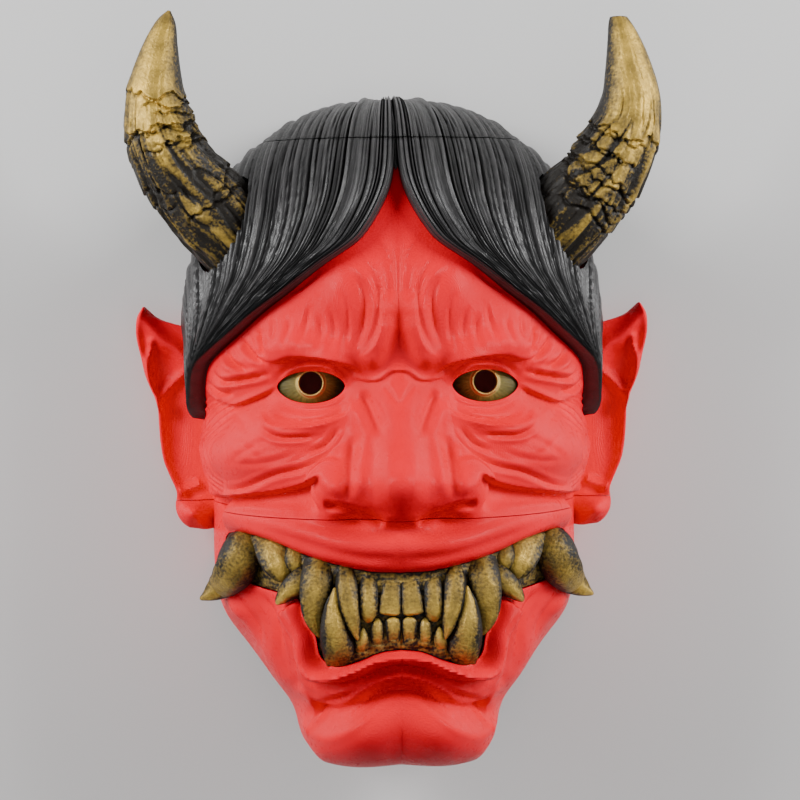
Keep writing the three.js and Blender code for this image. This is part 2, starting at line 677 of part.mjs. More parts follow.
// Teeth: a gum that fills the mouth, with a flange behind the lips, and fangs and incisors on it.
const GUM_BACK = -WALL - 4;
const GUM_FRONT = -1.2;
const FLANGE_FRONT = -WALL - GAP - 0.1;
const FLANGE_REACH = 4;
const gumShell = (rise) => headSolid(INSIDE_COLUMNS, INSIDE_ROWS, (x, y, z) => insideRelief(x, y, z) + rise);
const gumBackRoom = gumShell(GUM_BACK);

// Each tooth is [root x, root y, tip x, tip y, root width, bow, lift of the tip, bluntness].
const UPPER_TEETH = [
  [5.2, -65.5, 4.3, -78.5, 8.4, 0, 3, 0.9],
  [11.6, -65, 11.6, -81, 6.4, 0, 3.5, 0.55],
  [20.2, -63, 16.2, -88, 7.4, 1.5, 6, 0.12],
  [30.5, -61, 28.5, -90, 9.6, 4, 6, 0.12],
  [36.5, -62.5, 45.5, -73.5, 6, 1, 7, 0.25],
  [46, -56, 39, -68, 9, 0, 4, 0.3],
  [57.5, -54, 72.6, -75, 14, 5, 12, 0.06],
];
const LOWER_TEETH = [
  [3.3, -89, 3.3, -79, 6, 0, 2, 0.8],
  [9.2, -89, 8.9, -80.5, 5, 0, 2, 0.7],
  [14, -91, 13.4, -82.5, 4.6, 0, 2, 0.6],
  [23, -95, 25.4, -71, 10, 2, 6, 0.1],
];
const TOOTH_SIDES = 5;
const TOOTH_STEPS = 3;
const TOOTH_SINK = 1;
const TOOTH_TIP = 0.05;
const TOOTH_LIFT_AT_MIDDLE = 0.6;
const TOOTH_TAPER = 0.75;
const CHISEL_BOW = 6;
const CHEEK_EDGE = 66;

function tooth([rootX, rootY, tipX, tipY, width, bow, lift, blunt]) {
  const root = new THREE.Vector3(rootX, rootY, heightAt(rootX, rootY) + GUM_FRONT - TOOTH_SINK);
  const tip = new THREE.Vector3(tipX, tipY, heightAt(Math.min(tipX, CHEEK_EDGE), tipY) + GUM_FRONT + lift);
  const lean = tip.clone().sub(root);
  const sideways = new THREE.Vector3(0, 0, 1).cross(lean).normalize();
  const middle = root.clone().lerp(tip, 0.5);
  middle.addScaledVector(sideways, -bow * Math.sign(lean.y));
  middle.z += TOOTH_LIFT_AT_MIDDLE * lift;
  return sweep(new THREE.QuadraticBezierCurve3(root, middle, tip), TOOTH_STEPS, TOOTH_SIDES, (share) => {
    const point = (1 - share) ** TOOTH_TAPER;
    const chisel = blunt * Math.sqrt(1 - share ** CHISEL_BOW);
    return (width / 2) * Math.max(point, chisel) + TOOTH_TIP;
  });
}

const mouthPlug = (extra) => prism(grown(mouthOutline, extra), MOUTH_FLOOR, ABOVE_ALL);
const gumPlate = gumShell(GUM_FRONT).intersect(mouthPlug(-2 * GAP));
const gumFlange = gumShell(FLANGE_FRONT).intersect(mouthPlug(FLANGE_REACH));
const gum = gumPlate.add(gumFlange).subtract(gumBackRoom);
const teethHalf = [...UPPER_TEETH, ...LOWER_TEETH].map(tooth).reduce((a, b) => a.add(b));
const lips = swollenHead
  .subtract(headSolid(INSIDE_COLUMNS, INSIDE_ROWS, (x, y, z) => insideRelief(x, y, z) - WALL - GAP))
  .subtract(mouthPlug(-GAP));
const teeth = largestBody(gum.add(pair(teethHalf).subtract(gumBackRoom).subtract(lips)));

const mask = new THREE.Group();
mask.add(
  toMesh("face_upper", faceUpper, RED),
  toMesh("face_lower", faceLower, RED),
  toMesh("hair_crown", hairCrown, CHARCOAL),
  toMesh("hair_front", hairFront, CHARCOAL),
  toMesh("horn_left", hornLeft, OLD_GOLD),
  toMesh("horn_right", hornRight, OLD_GOLD),
  toMesh("eye_left", flip(eye), OLD_GOLD),
  toMesh("eye_right", eye, OLD_GOLD),
  toMesh("teeth", teeth, OLD_GOLD),
);

// The origin is under the middle of the whole mask, on the level of its rim.
const box = new THREE.Box3().setFromObject(mask);
const middle = box.getCenter(new THREE.Vector3());
mask.position.set(-middle.x, -middle.y, -box.min.z);

export default mask;
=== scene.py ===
# A printed demon mask, lying on its rim on a pale table and seen from straight above.
# Sizes are millimetres on the face: x from the middle line, y up from a level just under the sight
# holes, z out from the rim. They become metres where a mesh is made.
import math

import bmesh
import bpy
import numpy as np
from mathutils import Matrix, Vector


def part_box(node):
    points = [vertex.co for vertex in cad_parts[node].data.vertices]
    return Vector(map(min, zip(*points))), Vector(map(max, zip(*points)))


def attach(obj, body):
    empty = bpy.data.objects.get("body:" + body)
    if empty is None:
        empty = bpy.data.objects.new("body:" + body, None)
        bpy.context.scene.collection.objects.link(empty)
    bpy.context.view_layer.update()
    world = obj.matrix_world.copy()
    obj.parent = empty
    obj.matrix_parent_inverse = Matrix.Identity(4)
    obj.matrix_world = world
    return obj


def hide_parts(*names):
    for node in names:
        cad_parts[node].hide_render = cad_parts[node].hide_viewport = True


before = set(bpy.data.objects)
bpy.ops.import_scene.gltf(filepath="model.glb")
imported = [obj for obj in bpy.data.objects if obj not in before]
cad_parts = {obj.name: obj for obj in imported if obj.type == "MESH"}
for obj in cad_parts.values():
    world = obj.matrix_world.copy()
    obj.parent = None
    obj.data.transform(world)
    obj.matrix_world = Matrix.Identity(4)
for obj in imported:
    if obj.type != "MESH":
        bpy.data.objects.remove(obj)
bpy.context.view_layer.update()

# The upper face is one print in glossy red, from the crown seam down to a level seam under the nose.
# Its wall stands off a plain head form, whose level sections are half superellipses, and all of the
# brow, nose and cheek carving is height added to that form.
MM = 0.001
HEAD_TOP, HEAD_WIDEST, CHIN_FOOT = 111, 20, -136
HALF_WIDTH, FACE_DEPTH = 77, 95
SECTION_BOW, CROWN_BOW, CHIN_BOW, CHIN_WIDTH_BOW = 2.3, 3, 4, 5
CHEEK_TAPER, JAW_CORNER, JAW_TAPER, JAW_CORNER_ROUND = 6, -78, 0.76, 5
DEPTH_TAPER, CHIN_WIDTH_ROUND_START, CHIN_DEPTH_ROUND_START = 0.05, -118, -105
LIP_SEAM, CROWN_SEAM, SEAM_GAP, SEAM_LEAN = -43.8, 95.4, 0.3, 0.063
WALL, THIN_WALL, SKIRT = 3.5, 2.4, 20

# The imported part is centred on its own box, so its face level is shifted along Y.
BROKEN_TIP = 142.3
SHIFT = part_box("horn_right")[1][1] / MM - BROKEN_TIP


def smooth(low, high, t):
    """0 where t is at low or before it, 1 from high on, and an S curve between them."""
    s = np.clip((t - low) / (high - low), 0, 1)
    return s * s * (3 - 2 * s)


def round_off(t, bow):
    """A quarter of a superellipse, from 1 where t is 0 down to 0 where t is 1."""
    return (1 - np.clip(t, 0, 1) ** bow) ** (1 / bow)


def half_width(y):
    up = (y - HEAD_WIDEST) / (HEAD_TOP - HEAD_WIDEST)
    past_corner = JAW_CORNER_ROUND * np.log1p(np.exp((JAW_CORNER - y) / JAW_CORNER_ROUND))
    width = HALF_WIDTH - CHEEK_TAPER * smooth(HEAD_WIDEST, LIP_SEAM, y) - JAW_TAPER * past_corner
    down = (CHIN_WIDTH_ROUND_START - y) / (CHIN_WIDTH_ROUND_START - CHIN_FOOT)
    below = width * round_off(down, CHIN_WIDTH_BOW)
    return np.where(up > 0, HALF_WIDTH * round_off(up, SECTION_BOW), below)


def depth(y):
    up = (y - HEAD_WIDEST) / (HEAD_TOP - HEAD_WIDEST)
    down = (CHIN_DEPTH_ROUND_START - y) / (CHIN_DEPTH_ROUND_START - CHIN_FOOT)
    below = (FACE_DEPTH - DEPTH_TAPER * (HEAD_WIDEST - y)) * round_off(down, CHIN_BOW)
    return np.where(up > 0, FACE_DEPTH * round_off(up, CROWN_BOW), below)


# turn is 0 on the middle of the face and a right angle on the rim.
def head_point(turn, y):
    across = np.sign(turn) * np.abs(np.sin(turn)) ** (2 / SECTION_BOW)
    out = np.maximum(0, np.cos(turn)) ** (2 / SECTION_BOW)
    return np.stack([half_width(y) * across, y, depth(y) * out], axis=-1)


def head_normal(turn, y):
    probe = 0.01
    turn = np.clip(turn, probe - math.pi / 2, math.pi / 2 - probe)
    y = np.clip(y, CHIN_FOOT + 1, HEAD_TOP - 1)
    across = head_point(turn + probe, y) - head_point(turn - probe, y)
    up = head_point(turn, y + probe) - head_point(turn, y - probe)
    normal = np.cross(across, up)
    return normal / np.linalg.norm(normal, axis=-1, keepdims=True)


def turn_at(x, y):
    share = np.clip(np.abs(x) / half_width(y), 0, 1)
    return np.sign(x) * np.arcsin(share ** (SECTION_BOW / 2))


def height_at(x, y):
    return head_point(turn_at(x, y), y)[..., 2]


# Shares of the way over the face along its middle line, from the chin to the top.
middle_y = np.linspace(CHIN_FOOT, HEAD_TOP, 20001)
middle_run = np.concatenate([[0], np.cumsum(np.hypot(np.diff(middle_y), np.diff(depth(middle_y))))])
middle_run /= middle_run[-1]


def level_at(share):
    return np.interp(share, middle_run, middle_y)


def share_at(y):
    return np.interp(y, middle_y, middle_run)


# Carving tools. Each gives the height that one touch adds, for x as the distance from the middle line.
def swelling(x, y, at, size, rise, spin=0):
    c, s = math.cos(math.radians(spin)), math.sin(math.radians(spin))
    dx, dy = x - at[0], y - at[1]
    return rise * np.exp(-(((c * dx + s * dy) / size[0]) ** 2) - ((c * dy - s * dx) / size[1]) ** 2)


def swellings(x, y, masses):
    return sum(swelling(x, y, **mass) for mass in masses)


def curve_through(points, count):
    """count points, evenly spaced, on a smooth curve through the given ones."""
    p = np.array(points, float)
    p = np.vstack([2 * p[0] - p[1], p, 2 * p[-1] - p[-2]])
    t = np.linspace(0, 1, 24, endpoint=False)[:, None]
    runs = []
    for a, b, c, d in zip(p, p[1:], p[2:], p[3:]):
        squared, cubed = 2 * a - 5 * b + 4 * c - d, 3 * b - a - 3 * c + d
        runs.append(0.5 * (2 * b + (c - a) * t + squared * t**2 + cubed * t**3))
    fine = np.vstack([*runs, p[-2]])
    length = np.concatenate([[0], np.cumsum(np.linalg.norm(np.diff(fine, axis=0), axis=1))])
    at = np.linspace(0, length[-1], count)
    return np.stack([np.interp(at, length, fine[:, k]) for k in range(p.shape[1])], axis=-1)


def beside(x, y, path, reach, count=24):
    """Distance from a curve, which side of it (positive on its left), and how far along it, near it only."""
    line = curve_through(path, count)
    near = (x > line[:, 0].min() - reach) & (x < line[:, 0].max() + reach)
    near &= (y > line[:, 1].min() - reach) & (y < line[:, 1].max() + reach)
    px, py = x[near], y[near]
    best, side, share = np.full(px.shape, np.inf), np.ones(px.shape), np.zeros(px.shape)
    for i, (a, b) in enumerate(zip(line, line[1:])):
        d = b - a
        t = np.clip(((px - a[0]) * d[0] + (py - a[1]) * d[1]) / (d @ d), 0, 1)
        gx, gy = px - a[0] - t * d[0], py - a[1] - t * d[1]
        away = np.hypot(gx, gy)
        closer = away < best
        best = np.where(closer, away, best)
        side = np.where(closer, np.where(d[0] * gy - d[1] * gx < 0, -1, 1), side)
        share = np.where(closer, (i + t) / (count - 1), share)
    return near, best, side, share


def stroke(x, y, path, shape, reach, fade):
    height = np.zeros_like(x)
    near, away, side, share = beside(x, y, path, reach)
    ends = smooth(0, fade, share) * smooth(0, fade, 1 - share)
    height[near] = shape(away, side) * ends * smooth(reach, 0.7 * reach, away)
    return height


def roll(x, y, path, width, rise, fade=0.25):
    """A rounded roll, or a furrow if rise is negative."""
    return stroke(x, y, path, lambda away, side: rise * np.exp(-((away / width) ** 2)), 3 * width, fade)


def rolls(x, y, bands):
    return sum(roll(x, y, **band) for band in bands)


def crease(x, y, path, width, rise, fade=0.25):
    """A sharp crest, or a knife cut with swollen shoulders if rise is negative."""

    def shape(away, side):
        shoulder = max(0, -0.4 * rise) * np.exp(-((away / width - 2.6) ** 2) / 1.6)
        return rise * np.exp(-away / width) + shoulder

    return stroke(x, y, path, shape, 5 * width, fade)


def fold(x, y, path, drop, reach, fade=0.2, edge=1.3):
    """A flap of skin: what lies on the path's right is pushed back under what lies on its left."""

    def shape(away, side):
        under = -drop * np.exp(-away / reach) * smooth(0, edge, away)
        lip = 0.18 * drop * np.exp(-((away / (0.35 * reach)) ** 2))
        return np.where(side < 0, under + lip * smooth(edge, 0, away), lip)

    return stroke(x, y, path, shape, 4 * reach, fade)


def carve(x, y, touches):
    """Adds up touches, each of which is its tool and what the tool takes after x and y."""
    return sum(tool(x, y, *touch) for tool, *touch in touches)


# The main masses, in the places that the solid has them.
SOCKET = dict(at=(32, 5), size=(19, 9), rise=-8)
JAW_HOLLOW = dict(at=(53, -80), size=(8, 13), rise=-4)
NOSTRIL = dict(at=(14, -43), size=(7, 3), rise=-6, spin=-12)
MASSES = [
    SOCKET,
    JAW_HOLLOW,
    NOSTRIL,
    dict(at=(0, 45), size=(4, 28), rise=-2),
    dict(at=(32, 6.2), size=(15, 8.5), rise=3.5),
    dict(at=(19, 38), size=(17, 21), rise=5),
    dict(at=(42, 25), size=(9, 9), rise=2.5),
    dict(at=(60, 10), size=(9, 8), rise=5),
    dict(at=(54, -20), size=(21, 15), rise=10),
    dict(at=(17, -122), size=(13, 9), rise=8),
]
# A path that crosses the middle line starts beyond it, so that it doesn't fade out there.
BEYOND = -8
CHIN_FOLD = dict(path=[(BEYOND, -106), (6, -106), (16, -110.5), (31, -115)], width=4, rise=-4.5, fade=0.02)
MAIN_ROLLS = [
    CHIN_FOLD,
    dict(path=[(13, 10), (24, 15.5), (36, 18.5), (47, 15.5), (54, 17)], width=6.5, rise=5.5),
    dict(path=[(4, 40), (5.5, 26), (9, 17), (16, 10)], width=3.5, rise=4),
    dict(path=[(49, -4), (41, -9), (33, -10), (20, -6)], width=3.5, rise=2.2),
    dict(path=[(BEYOND, -54), (20, -52), (40, -46), (62, -42)], width=8, rise=7, fade=0.02),
    dict(
        path=[(BEYOND, -94), (8, -94), (15, -97.5), (24, -101), (32, -98), (35, -86), (42, -76)],
        width=4.2,
        rise=6,
        fade=0.02,
    ),
]
NOSE_BASE = -44
NOSE_MASSES = [
    dict(at=(0, -31), size=(15, 15), rise=21),
    dict(at=(0, -10), size=(10, 17), rise=8),
    dict(at=(22, -31), size=(9, 9.5), rise=12),
]
CHEEK_FOLD = [(26, -25), (31, -28.8), (40, -31.8), (52, -33.8), (62, -35), (73, -36)]


def nose(x, y):
    return swellings(x, y, NOSE_MASSES) * smooth(NOSE_BASE - 5, NOSE_BASE + 3, y)


# Short creases in the skin that fade out at both ends.
FOREHEAD_CUTS = [
    [(12.5, 47), (7.1, 38), (7.3, 27), (10.8, 17.5)],
    [(15.5, 47), (12, 37), (12.4, 27), (15, 17)],
    [(20.5, 41), (17.8, 33), (18, 24), (19.6, 15)],
    [(24.5, 35), (22.6, 28), (22.8, 22), (24, 15.8)],
    [(28.4, 32), (27, 26), (27.2, 21), (28, 17)],
    [(30.5, 37), (32, 29), (33, 23), (34.3, 17.4)],
    [(38.5, 33), (38, 26), (38.6, 21), (39.5, 17)],
    [(45, 31), (43.5, 25), (43.4, 21)],
    [(26, 46), (34, 41), (42, 38)],
]
TEMPLE_CUTS = [
    [(51, 27), (48.5, 21), (44.5, 16)],
    [(57.8, 23.5), (53.5, 18), (47.4, 13.2)],
    [(63.2, 19.5), (59.5, 15), (53.4, 11)],
    [(67.5, 12.5), (61.6, 7.6), (54, 8.2), (46, 10.4)],
    [(70.5, 8), (65, 3.5), (58, 3)],
]
EYE_BAG_CUTS = [
    [(19.5, -1.5), (23.4, -5.6), (32.2, -7.5), (39.8, -6.3), (46.3, -3)],
    [(27, -12.6), (35, -13.4), (42, -12.4), (49, -7)],
    [(21, -9), (26, -16), (33, -19.5)],
]
CHEEK_CUTS = [
    [(41, -12.5), (47, -15.5), (53, -20.5), (55, -25)],
    [(59, -11), (52, -14.5), (47, -19.5), (43, -21)],
    [(33, -17), (40, -21), (49, -22.5), (57, -21)],
    [(60, -4), (54, -7.5), (50, -12)],
]


FOREHEAD_FILL = [
    dict(at=(0, 45), size=(4, 28), rise=1.6),
    dict(at=(0, 29), size=(3.2, 12), rise=1.8),
]
RINGS_AT, RING_SQUASH, RING_SPACING = (52, -18), 1.15, 2.7


def worn_cut(x, y, path):
    """A fine cut down the middle of a shallow furrow."""
    return crease(x, y, path, 0.65, -0.45, fade=0.4) + roll(x, y, path, 1.5, -0.5, fade=0.4)


def cheek_rings(x, y):
    """Tight wavy rings round the outer side of the cheek."""
    ring = np.hypot(x - RINGS_AT[0], (y - RINGS_AT[1]) * RING_SQUASH)
    outer = smooth(57, 64, x) * smooth(-38, -28, y) * smooth(5, -5, y) * smooth(9, 13, ring)
    return -outer * np.abs(np.cos(ring * math.pi / RING_SPACING + 0.8 * np.sin(y * 0.5)))


# Brow, eyes, nose and cheeks, finer than the main masses.
UPPER_TOUCHES = [
    (fold, CHEEK_FOLD, 6, 8, 0.1, 2),
    (crease, [(24.5, -20), (33.2, -24.4), (42.3, -27), (52.1, -31.7), (61, -33)], 0.8, -1.1),
    # Forehead: crests that fan out of the frown, whose middle is partly filled.
    (crease, [(8.6, 57.8), (4.1, 55.2), (2.1, 46), (1.9, 30.8)], 0.9, 0.9),
    (crease, [(13.7, 53.7), (7.7, 46), (5.3, 36.9), (5.9, 26.8), (9, 18.7), (16.1, 13.7)], 1, 1.5),
    (roll, [(17.7, 50.4), (9.7, 41.1), (8.8, 30.9), (12, 20.8), (17.1, 14.8)], 1.8, 1.2),
    (swellings, FOREHEAD_FILL),
    (roll, [(2.3, 30.8), (6.2, 16.5), (12.2, 10.4)], 2.2, 1.3),
    *[(worn_cut, cut) for cut in FOREHEAD_CUTS],
    (fold, [(17.5, 7.2), (12, 6.2), (7, 6.4), (2.6, 9.4), (-1, 9.4)], -1.6, 2.4, 0.1),
    # Brow edge over the eye, and the bunched skin at the temple, whose lower edge hangs over the cheek.
    (fold, [(11, 8), (18, 12.7), (26, 15.3), (36.3, 16.2), (44, 14.4), (51, 19)], 5, 4.5),
    *[(crease, cut, 0.75, -1.9, 0.3) for cut in TEMPLE_CUTS],
    (fold, [(45.5, 5.8), (52.9, 1.4), (59.4, -0.9), (66, 0.8), (72, 4)], 3.6, 4, 0.25),
    # Lids and the bag under the eye.
    (crease, [(47, 6.5), (40, 12), (32, 13.8), (24, 12.6), (17.5, 6)], 0.7, -1),
    (roll, [(46.5, 5), (40, 10.8), (32, 12.5), (24.5, 11.2), (18.5, 5)], 0.9, 1),
    (roll, [(46.5, 4), (40, -0.6), (32, -2.3), (24.5, -1.2), (18.5, 3)], 0.9, 0.9),
    (fold, [(18.5, 1.5), (19.6, -4.2), (26, -7), (33.5, -8.6), (42, -7.6), (50, -3)], -1.8, 2.6),
    *[(crease, cut, 0.7, -1.2, 0.35) for cut in EYE_BAG_CUTS],
    (roll, [(14.1, 3.5), (10.5, -3), (7.6, -9), (6.6, -14)], 1.7, -1.9),
    (roll, [(17, -1), (14.5, -8), (12, -14)], 2.2, 1),
    # Nose: crossed creases at the root, crests down its sides, wings with a groove round them.
    (crease, [(6.5, 6.5), (3, 2), (-1.5, -4.5)], 0.7, -0.55, 0.3),
    (crease, [(9.5, 2), (5.5, -4), (4.5, -11)], 0.7, -0.45),
    (roll, [(10.5, -8), (12.3, -17), (12.8, -27), (12.3, -35)], 1.7, 1.5),
    (roll, [(16.2, -12), (16.8, -22), (16.3, -30), (17.4, -37)], 1.8, -2.1),
    (roll, [(3.6, -14), (4.2, -26), (3.8, -37)], 1.5, 0.5),
    (roll, [(8.4, -14), (8.7, -26), (8, -38)], 1.3, -0.5),
    (fold, [(27, -40), (31.2, -33), (30.2, -26.5), (25, -21.6), (18.5, -22.5)], 3.2, 2.4, 0.15),
    (roll, [(26, -37.5), (19, -38.8), (10, -42.6), (5, -44.6)], 1.5, -4.6, 0.12),
    (roll, [(24, -35.2), (17, -36.4), (9, -40)], 1.1, 0.8),
    # Cheeks: crossed creases over the mound and tight rings round its outer side.
    *[(crease, cut, 0.8, -0.45, 0.4) for cut in CHEEK_CUTS],
    (cheek_rings,),
    (roll, [(72, -34), (68, -39), (62.5, -43)], 1.3, -1.3),
    # The muscle of the upper lip runs in faint bands to the mouth corner.
    (roll, [(2, -48), (20, -47), (40, -43), (60, -40)], 1.4, -0.5),
    (roll, [(30, -40), (45, -39.5), (62, -39)], 1.6, 0.6),
]
RIM_MARGIN, RELIEF_MARGIN = 6, 34


def off_the_rim(z):
    """The carving dies away towards the rim, which stays plain."""
    return smooth(RIM_MARGIN, RELIEF_MARGIN, z)


def relief(x, y, z):
    side = np.abs(x)
    rise = nose(side, y) + carve(side, y, UPPER_TOUCHES) + lower_carving(side, y)
    rise += swellings(side, y, MASSES)
    rise += rolls(side, y, MAIN_ROLLS)
    return rise * off_the_rim(z)


def inside_relief(x, y, z):
    side = np.abs(x)
    rise = 0.85 * nose(side, y) + roll(side, y, **CHIN_FOLD)
    rise += swellings(side, y, (SOCKET, JAW_HOLLOW, NOSTRIL))
    return rise * off_the_rim(z)


LIP_ROUND = 2
# The mouth, from its middle above to its corner and back to its middle below.
MOUTH = [
    (0, -63), (11, -62.4), (24.4, -59.6), (35.4, -56.2), (44, -52.6), (52.5, -50), (60.5, -49), (64.5, -51),
    (65, -56), (60, -66), (50.5, -70), (38, -73), (35.5, -79), (31.5, -86), (30, -93), (27, -96.5),
    (22.5, -97.5), (15, -95.4), (7.5, -92.4), (0, -91.4),
]
JAW_CUTS = [
    [(47.5, -71.5), (43.5, -78.5), (39.5, -89.3), (38, -97), (37, -106)],
    [(56, -71), (50, -78), (45.5, -88), (43.5, -98)],
    [(63, -68), (59, -76), (53.5, -86), (50, -94)],
    [(35, -108), (28, -110.5), (21, -108.5), (14, -104.8), (6, -101.5)],
]
UNDER_LIP = [(36, -95), (31.4, -101.4), (23.7, -103.2), (14.5, -101.6), (6.8, -98.2), (-3, -95.8)]
CHIN_TOP = [
    (-4, -105.2), (3.7, -105.5), (9.8, -107.8), (14.5, -111.7), (19.1, -115), (25.3, -116), (34, -113.4),
]
OVER_LIP = [(-4, -61), (11, -60.4), (24.4, -57.4), (35.4, -54), (44, -50.2), (52.5, -47.4), (61, -46.2)]

# Lips, jaw and chin.
LOWER_TOUCHES = [
    (roll, OVER_LIP, 2, 1.3),
    (swelling, (62, -78), (7, 16), 1.5),
    (roll, [(-4, -57.4), (14, -56.4), (30, -52), (46, -46.6)], 1.3, -0.5),
    (swelling, (0, -56), (3, 6), -0.8),
    (roll, [(-4, -92), (8.8, -93.7), (15, -97), (22.3, -99.5), (29, -98.4), (33, -92), (35.6, -82)], 2, 2),
    (fold, UNDER_LIP, -2.2, 3, 0.12, 2),
    (crease, UNDER_LIP, 1.3, -2.6, 0.12),
    *[(crease, cut, 0.9, -1.2, 0.35) for cut in JAW_CUTS],
    (roll, [(62, -70), (55, -84), (45, -99), (36, -113)], 4.4, 2.2),
    (roll, [(47, -78), (45, -90), (39, -104)], 3, -0.8),
    (fold, CHIN_TOP, 3.4, 3.6, 0.1, 2.6),
    (crease, CHIN_TOP, 1.5, -3, 0.12),
    (roll, [(-4, -101.4), (8.3, -103.6), (17.6, -108.2), (30, -109.6), (38, -104)], 3, 2.2, 0.12),
    (roll, [(24, -117), (30, -119), (35, -117)], 2.5, 1.2),
    (roll, [(-10, -131), (8, -131), (20, -130.5), (31, -128.5)], 5, 3.2, 0.2),
    (swelling, (29, -124), (9, 8), 4.4),
    (roll, [(66, -60), (64, -72), (58, -84)], 2.4, 0.9),
]


def lower_carving(x, y):
    """The touches on the lower face, and lips that round off into the mouth."""
    h = carve(x, y, LOWER_TOUCHES)
    near, away, _, _ = beside(x, y, MOUTH, LIP_ROUND + 1, 90)
    h[near] -= LIP_ROUND * (1 - np.sqrt(1 - (1 - np.clip(away / LIP_ROUND, 0, 1)) ** 2))
    return h


def skin(name, around, along, place, raised=None):
    """A closed skin of loops. place turns shares around and along into points, and raised into paint."""
    mesh = bmesh.new()
    bmesh.ops.create_grid(mesh, x_segments=around, y_segments=along, size=0.5)
    share = np.array([v.co[:2] for v in mesh.verts]) + 0.5
    # The last column lies on the first one.
    u, v = np.rint(share[:, 0] * around) % around / around, share[:, 1]
    for vert, point in zip(mesh.verts, (place(u, v) + (0, SHIFT, 0)) * MM):
        vert.co = point
    if raised:
        layer = mesh.verts.layers.float.new("raised")
        for vert, value in zip(mesh.verts, raised(u, v)):
            vert[layer] = value
    bmesh.ops.remove_doubles(mesh, verts=mesh.verts, dist=1e-6)
    bmesh.ops.holes_fill(mesh, edges=mesh.edges, sides=0)
    bmesh.ops.recalc_face_normals(mesh, faces=mesh.faces)
    return as_object(name, mesh)


def as_object(name, mesh):
    data = bpy.data.meshes.new(name)
    mesh.to_mesh(data)
    mesh.free()
    piece = bpy.data.objects.new(name, data)
    bpy.context.collection.objects.link(piece)
    return piece


def join(piece, others):
    """Takes closed shells into a piece."""
    mesh = bmesh.new()
    for part in (piece, *others):
        mesh.from_mesh(part.data)
    mesh.to_mesh(piece.data)
    mesh.free()
    for part in others:
        bpy.data.objects.remove(part)


def combine(piece, tool, operation):
    """Joins or cuts piece with tool, which goes."""
    step = piece.modifiers.new("combine", "BOOLEAN")
    step.operation = operation
    step.solver = "MANIFOLD"
    step.object = tool
    bpy.context.view_layer.objects.active = piece
    bpy.ops.object.modifier_apply(modifier=step.name)
    bpy.data.objects.remove(tool)


# Columns stand closer together on the front of the face than at its sides.
EVEN_STEP, CUBED_STEP = 0.72, 0.28


def head_solid(name, columns, levels, rise, raised=None):
    """The head as a solid that stands off the plain form by rise, with a skirt below the rim."""
    last = columns + 3

    def place(around, along):
        column = np.rint(around * last).astype(int)
        y = levels[np.rint(along * (len(levels) - 1)).astype(int)]
        step = 2 * np.clip(column, 0, columns) / columns - 1
        step = np.where(column == columns + 2, -1, step)
        turn = (EVEN_STEP * step + CUBED_STEP * step**3) * math.pi / 2
        points = head_point(turn, y)
        points += head_normal(turn, y) * rise(*points.T)[:, None]
        skirt = (column == columns + 1) | (column == columns + 2)
        points[skirt, 2] = -SKIRT
        return points

    return skin(name, last, len(levels) - 1, place, raised)


def levels_between(stops):
    """Levels evenly spaced along the middle line between stops, each of them (y, rows above it)."""
    runs = []
    for (low, count), (high, _) in zip(stops, stops[1:]):
        runs.append(level_at(np.linspace(share_at(low), share_at(high), count, endpoint=False)))
    return np.concatenate([*runs, [stops[-1][0]]])


# FAR is further out than any part of the mask on each side, and OVER_ALL is higher than its nose.
FAR, OVER_ALL = 200, 140


def block(foot, head):
    """A wide block with four edges along x. foot and head are the (y, z) of its lower and upper edges."""
    mesh = bmesh.new()
    bmesh.ops.create_cube(mesh, size=2)
    for vert in mesh.verts:
        y, z = (head if vert.co.z > 0 else foot)[0 if vert.co.y < 0 else 1]
        vert.co = (FAR * MM * vert.co.x, (y + SHIFT) * MM, z * MM)
    return as_object("block", mesh)


def seam(at, z):
    """Level of a seam at a height. The prints are cut at a slight lean to the face."""
    return at + SEAM_LEAN * (FACE_DEPTH - z)


def between_seams(low, high):
    foot, head = ([(seam(at, z), z) for at in (low, high)] for z in (0, FAR))
    return block(foot, head)


def prism(points, low, high=OVER_ALL):
    """A solid with an upright wall through the points."""
    mesh = bmesh.new()
    bmesh.ops.create_circle(mesh, cap_ends=True, radius=1, segments=len(points))
    for vert, (x, y) in zip(mesh.verts, points):
        vert.co = (x * MM, (y + SHIFT) * MM, low * MM)
    raised = bmesh.ops.extrude_face_region(mesh, geom=mesh.faces[:])["geom"]
    top = [part for part in raised if isinstance(part, bmesh.types.BMVert)]
    bmesh.ops.translate(mesh, verts=top, vec=(0, 0, (high - low) * MM))
    bmesh.ops.holes_fill(mesh, edges=mesh.edges, sides=0)
    bmesh.ops.recalc_face_normals(mesh, faces=mesh.faces)
    return as_object("prism", mesh)


def turned(profile, centre, steps):
    """A closed ring, spun from a closed profile of (out, z) points about an upright axis."""
    mesh = bmesh.new()
    verts = [mesh.verts.new(((centre[0] + out) * MM, (centre[1] + SHIFT) * MM, z * MM)) for out, z in profile]
    edges = [mesh.edges.new(pair) for pair in zip(verts, verts[1:] + verts[:1])]
    axis = (centre[0] * MM, (centre[1] + SHIFT) * MM, 0)
    bmesh.ops.spin(
        mesh, geom=verts + edges, cent=axis, axis=(0, 0, 1), angle=2 * math.pi, steps=steps, use_merge=True
    )
    bmesh.ops.remove_doubles(mesh, verts=mesh.verts, dist=1e-7)
    bmesh.ops.recalc_face_normals(mesh, faces=mesh.faces)
    return as_object("ring", mesh)


def inside_of_head():
    def rise(x, y, z):
        return np.minimum(inside_relief(x, y, z) - WALL, relief(x, y, z) - THIN_WALL)

    return head_solid("inside", 110, levels_between([(CHIN_FOOT, 110), (HEAD_TOP, 0)]), rise)


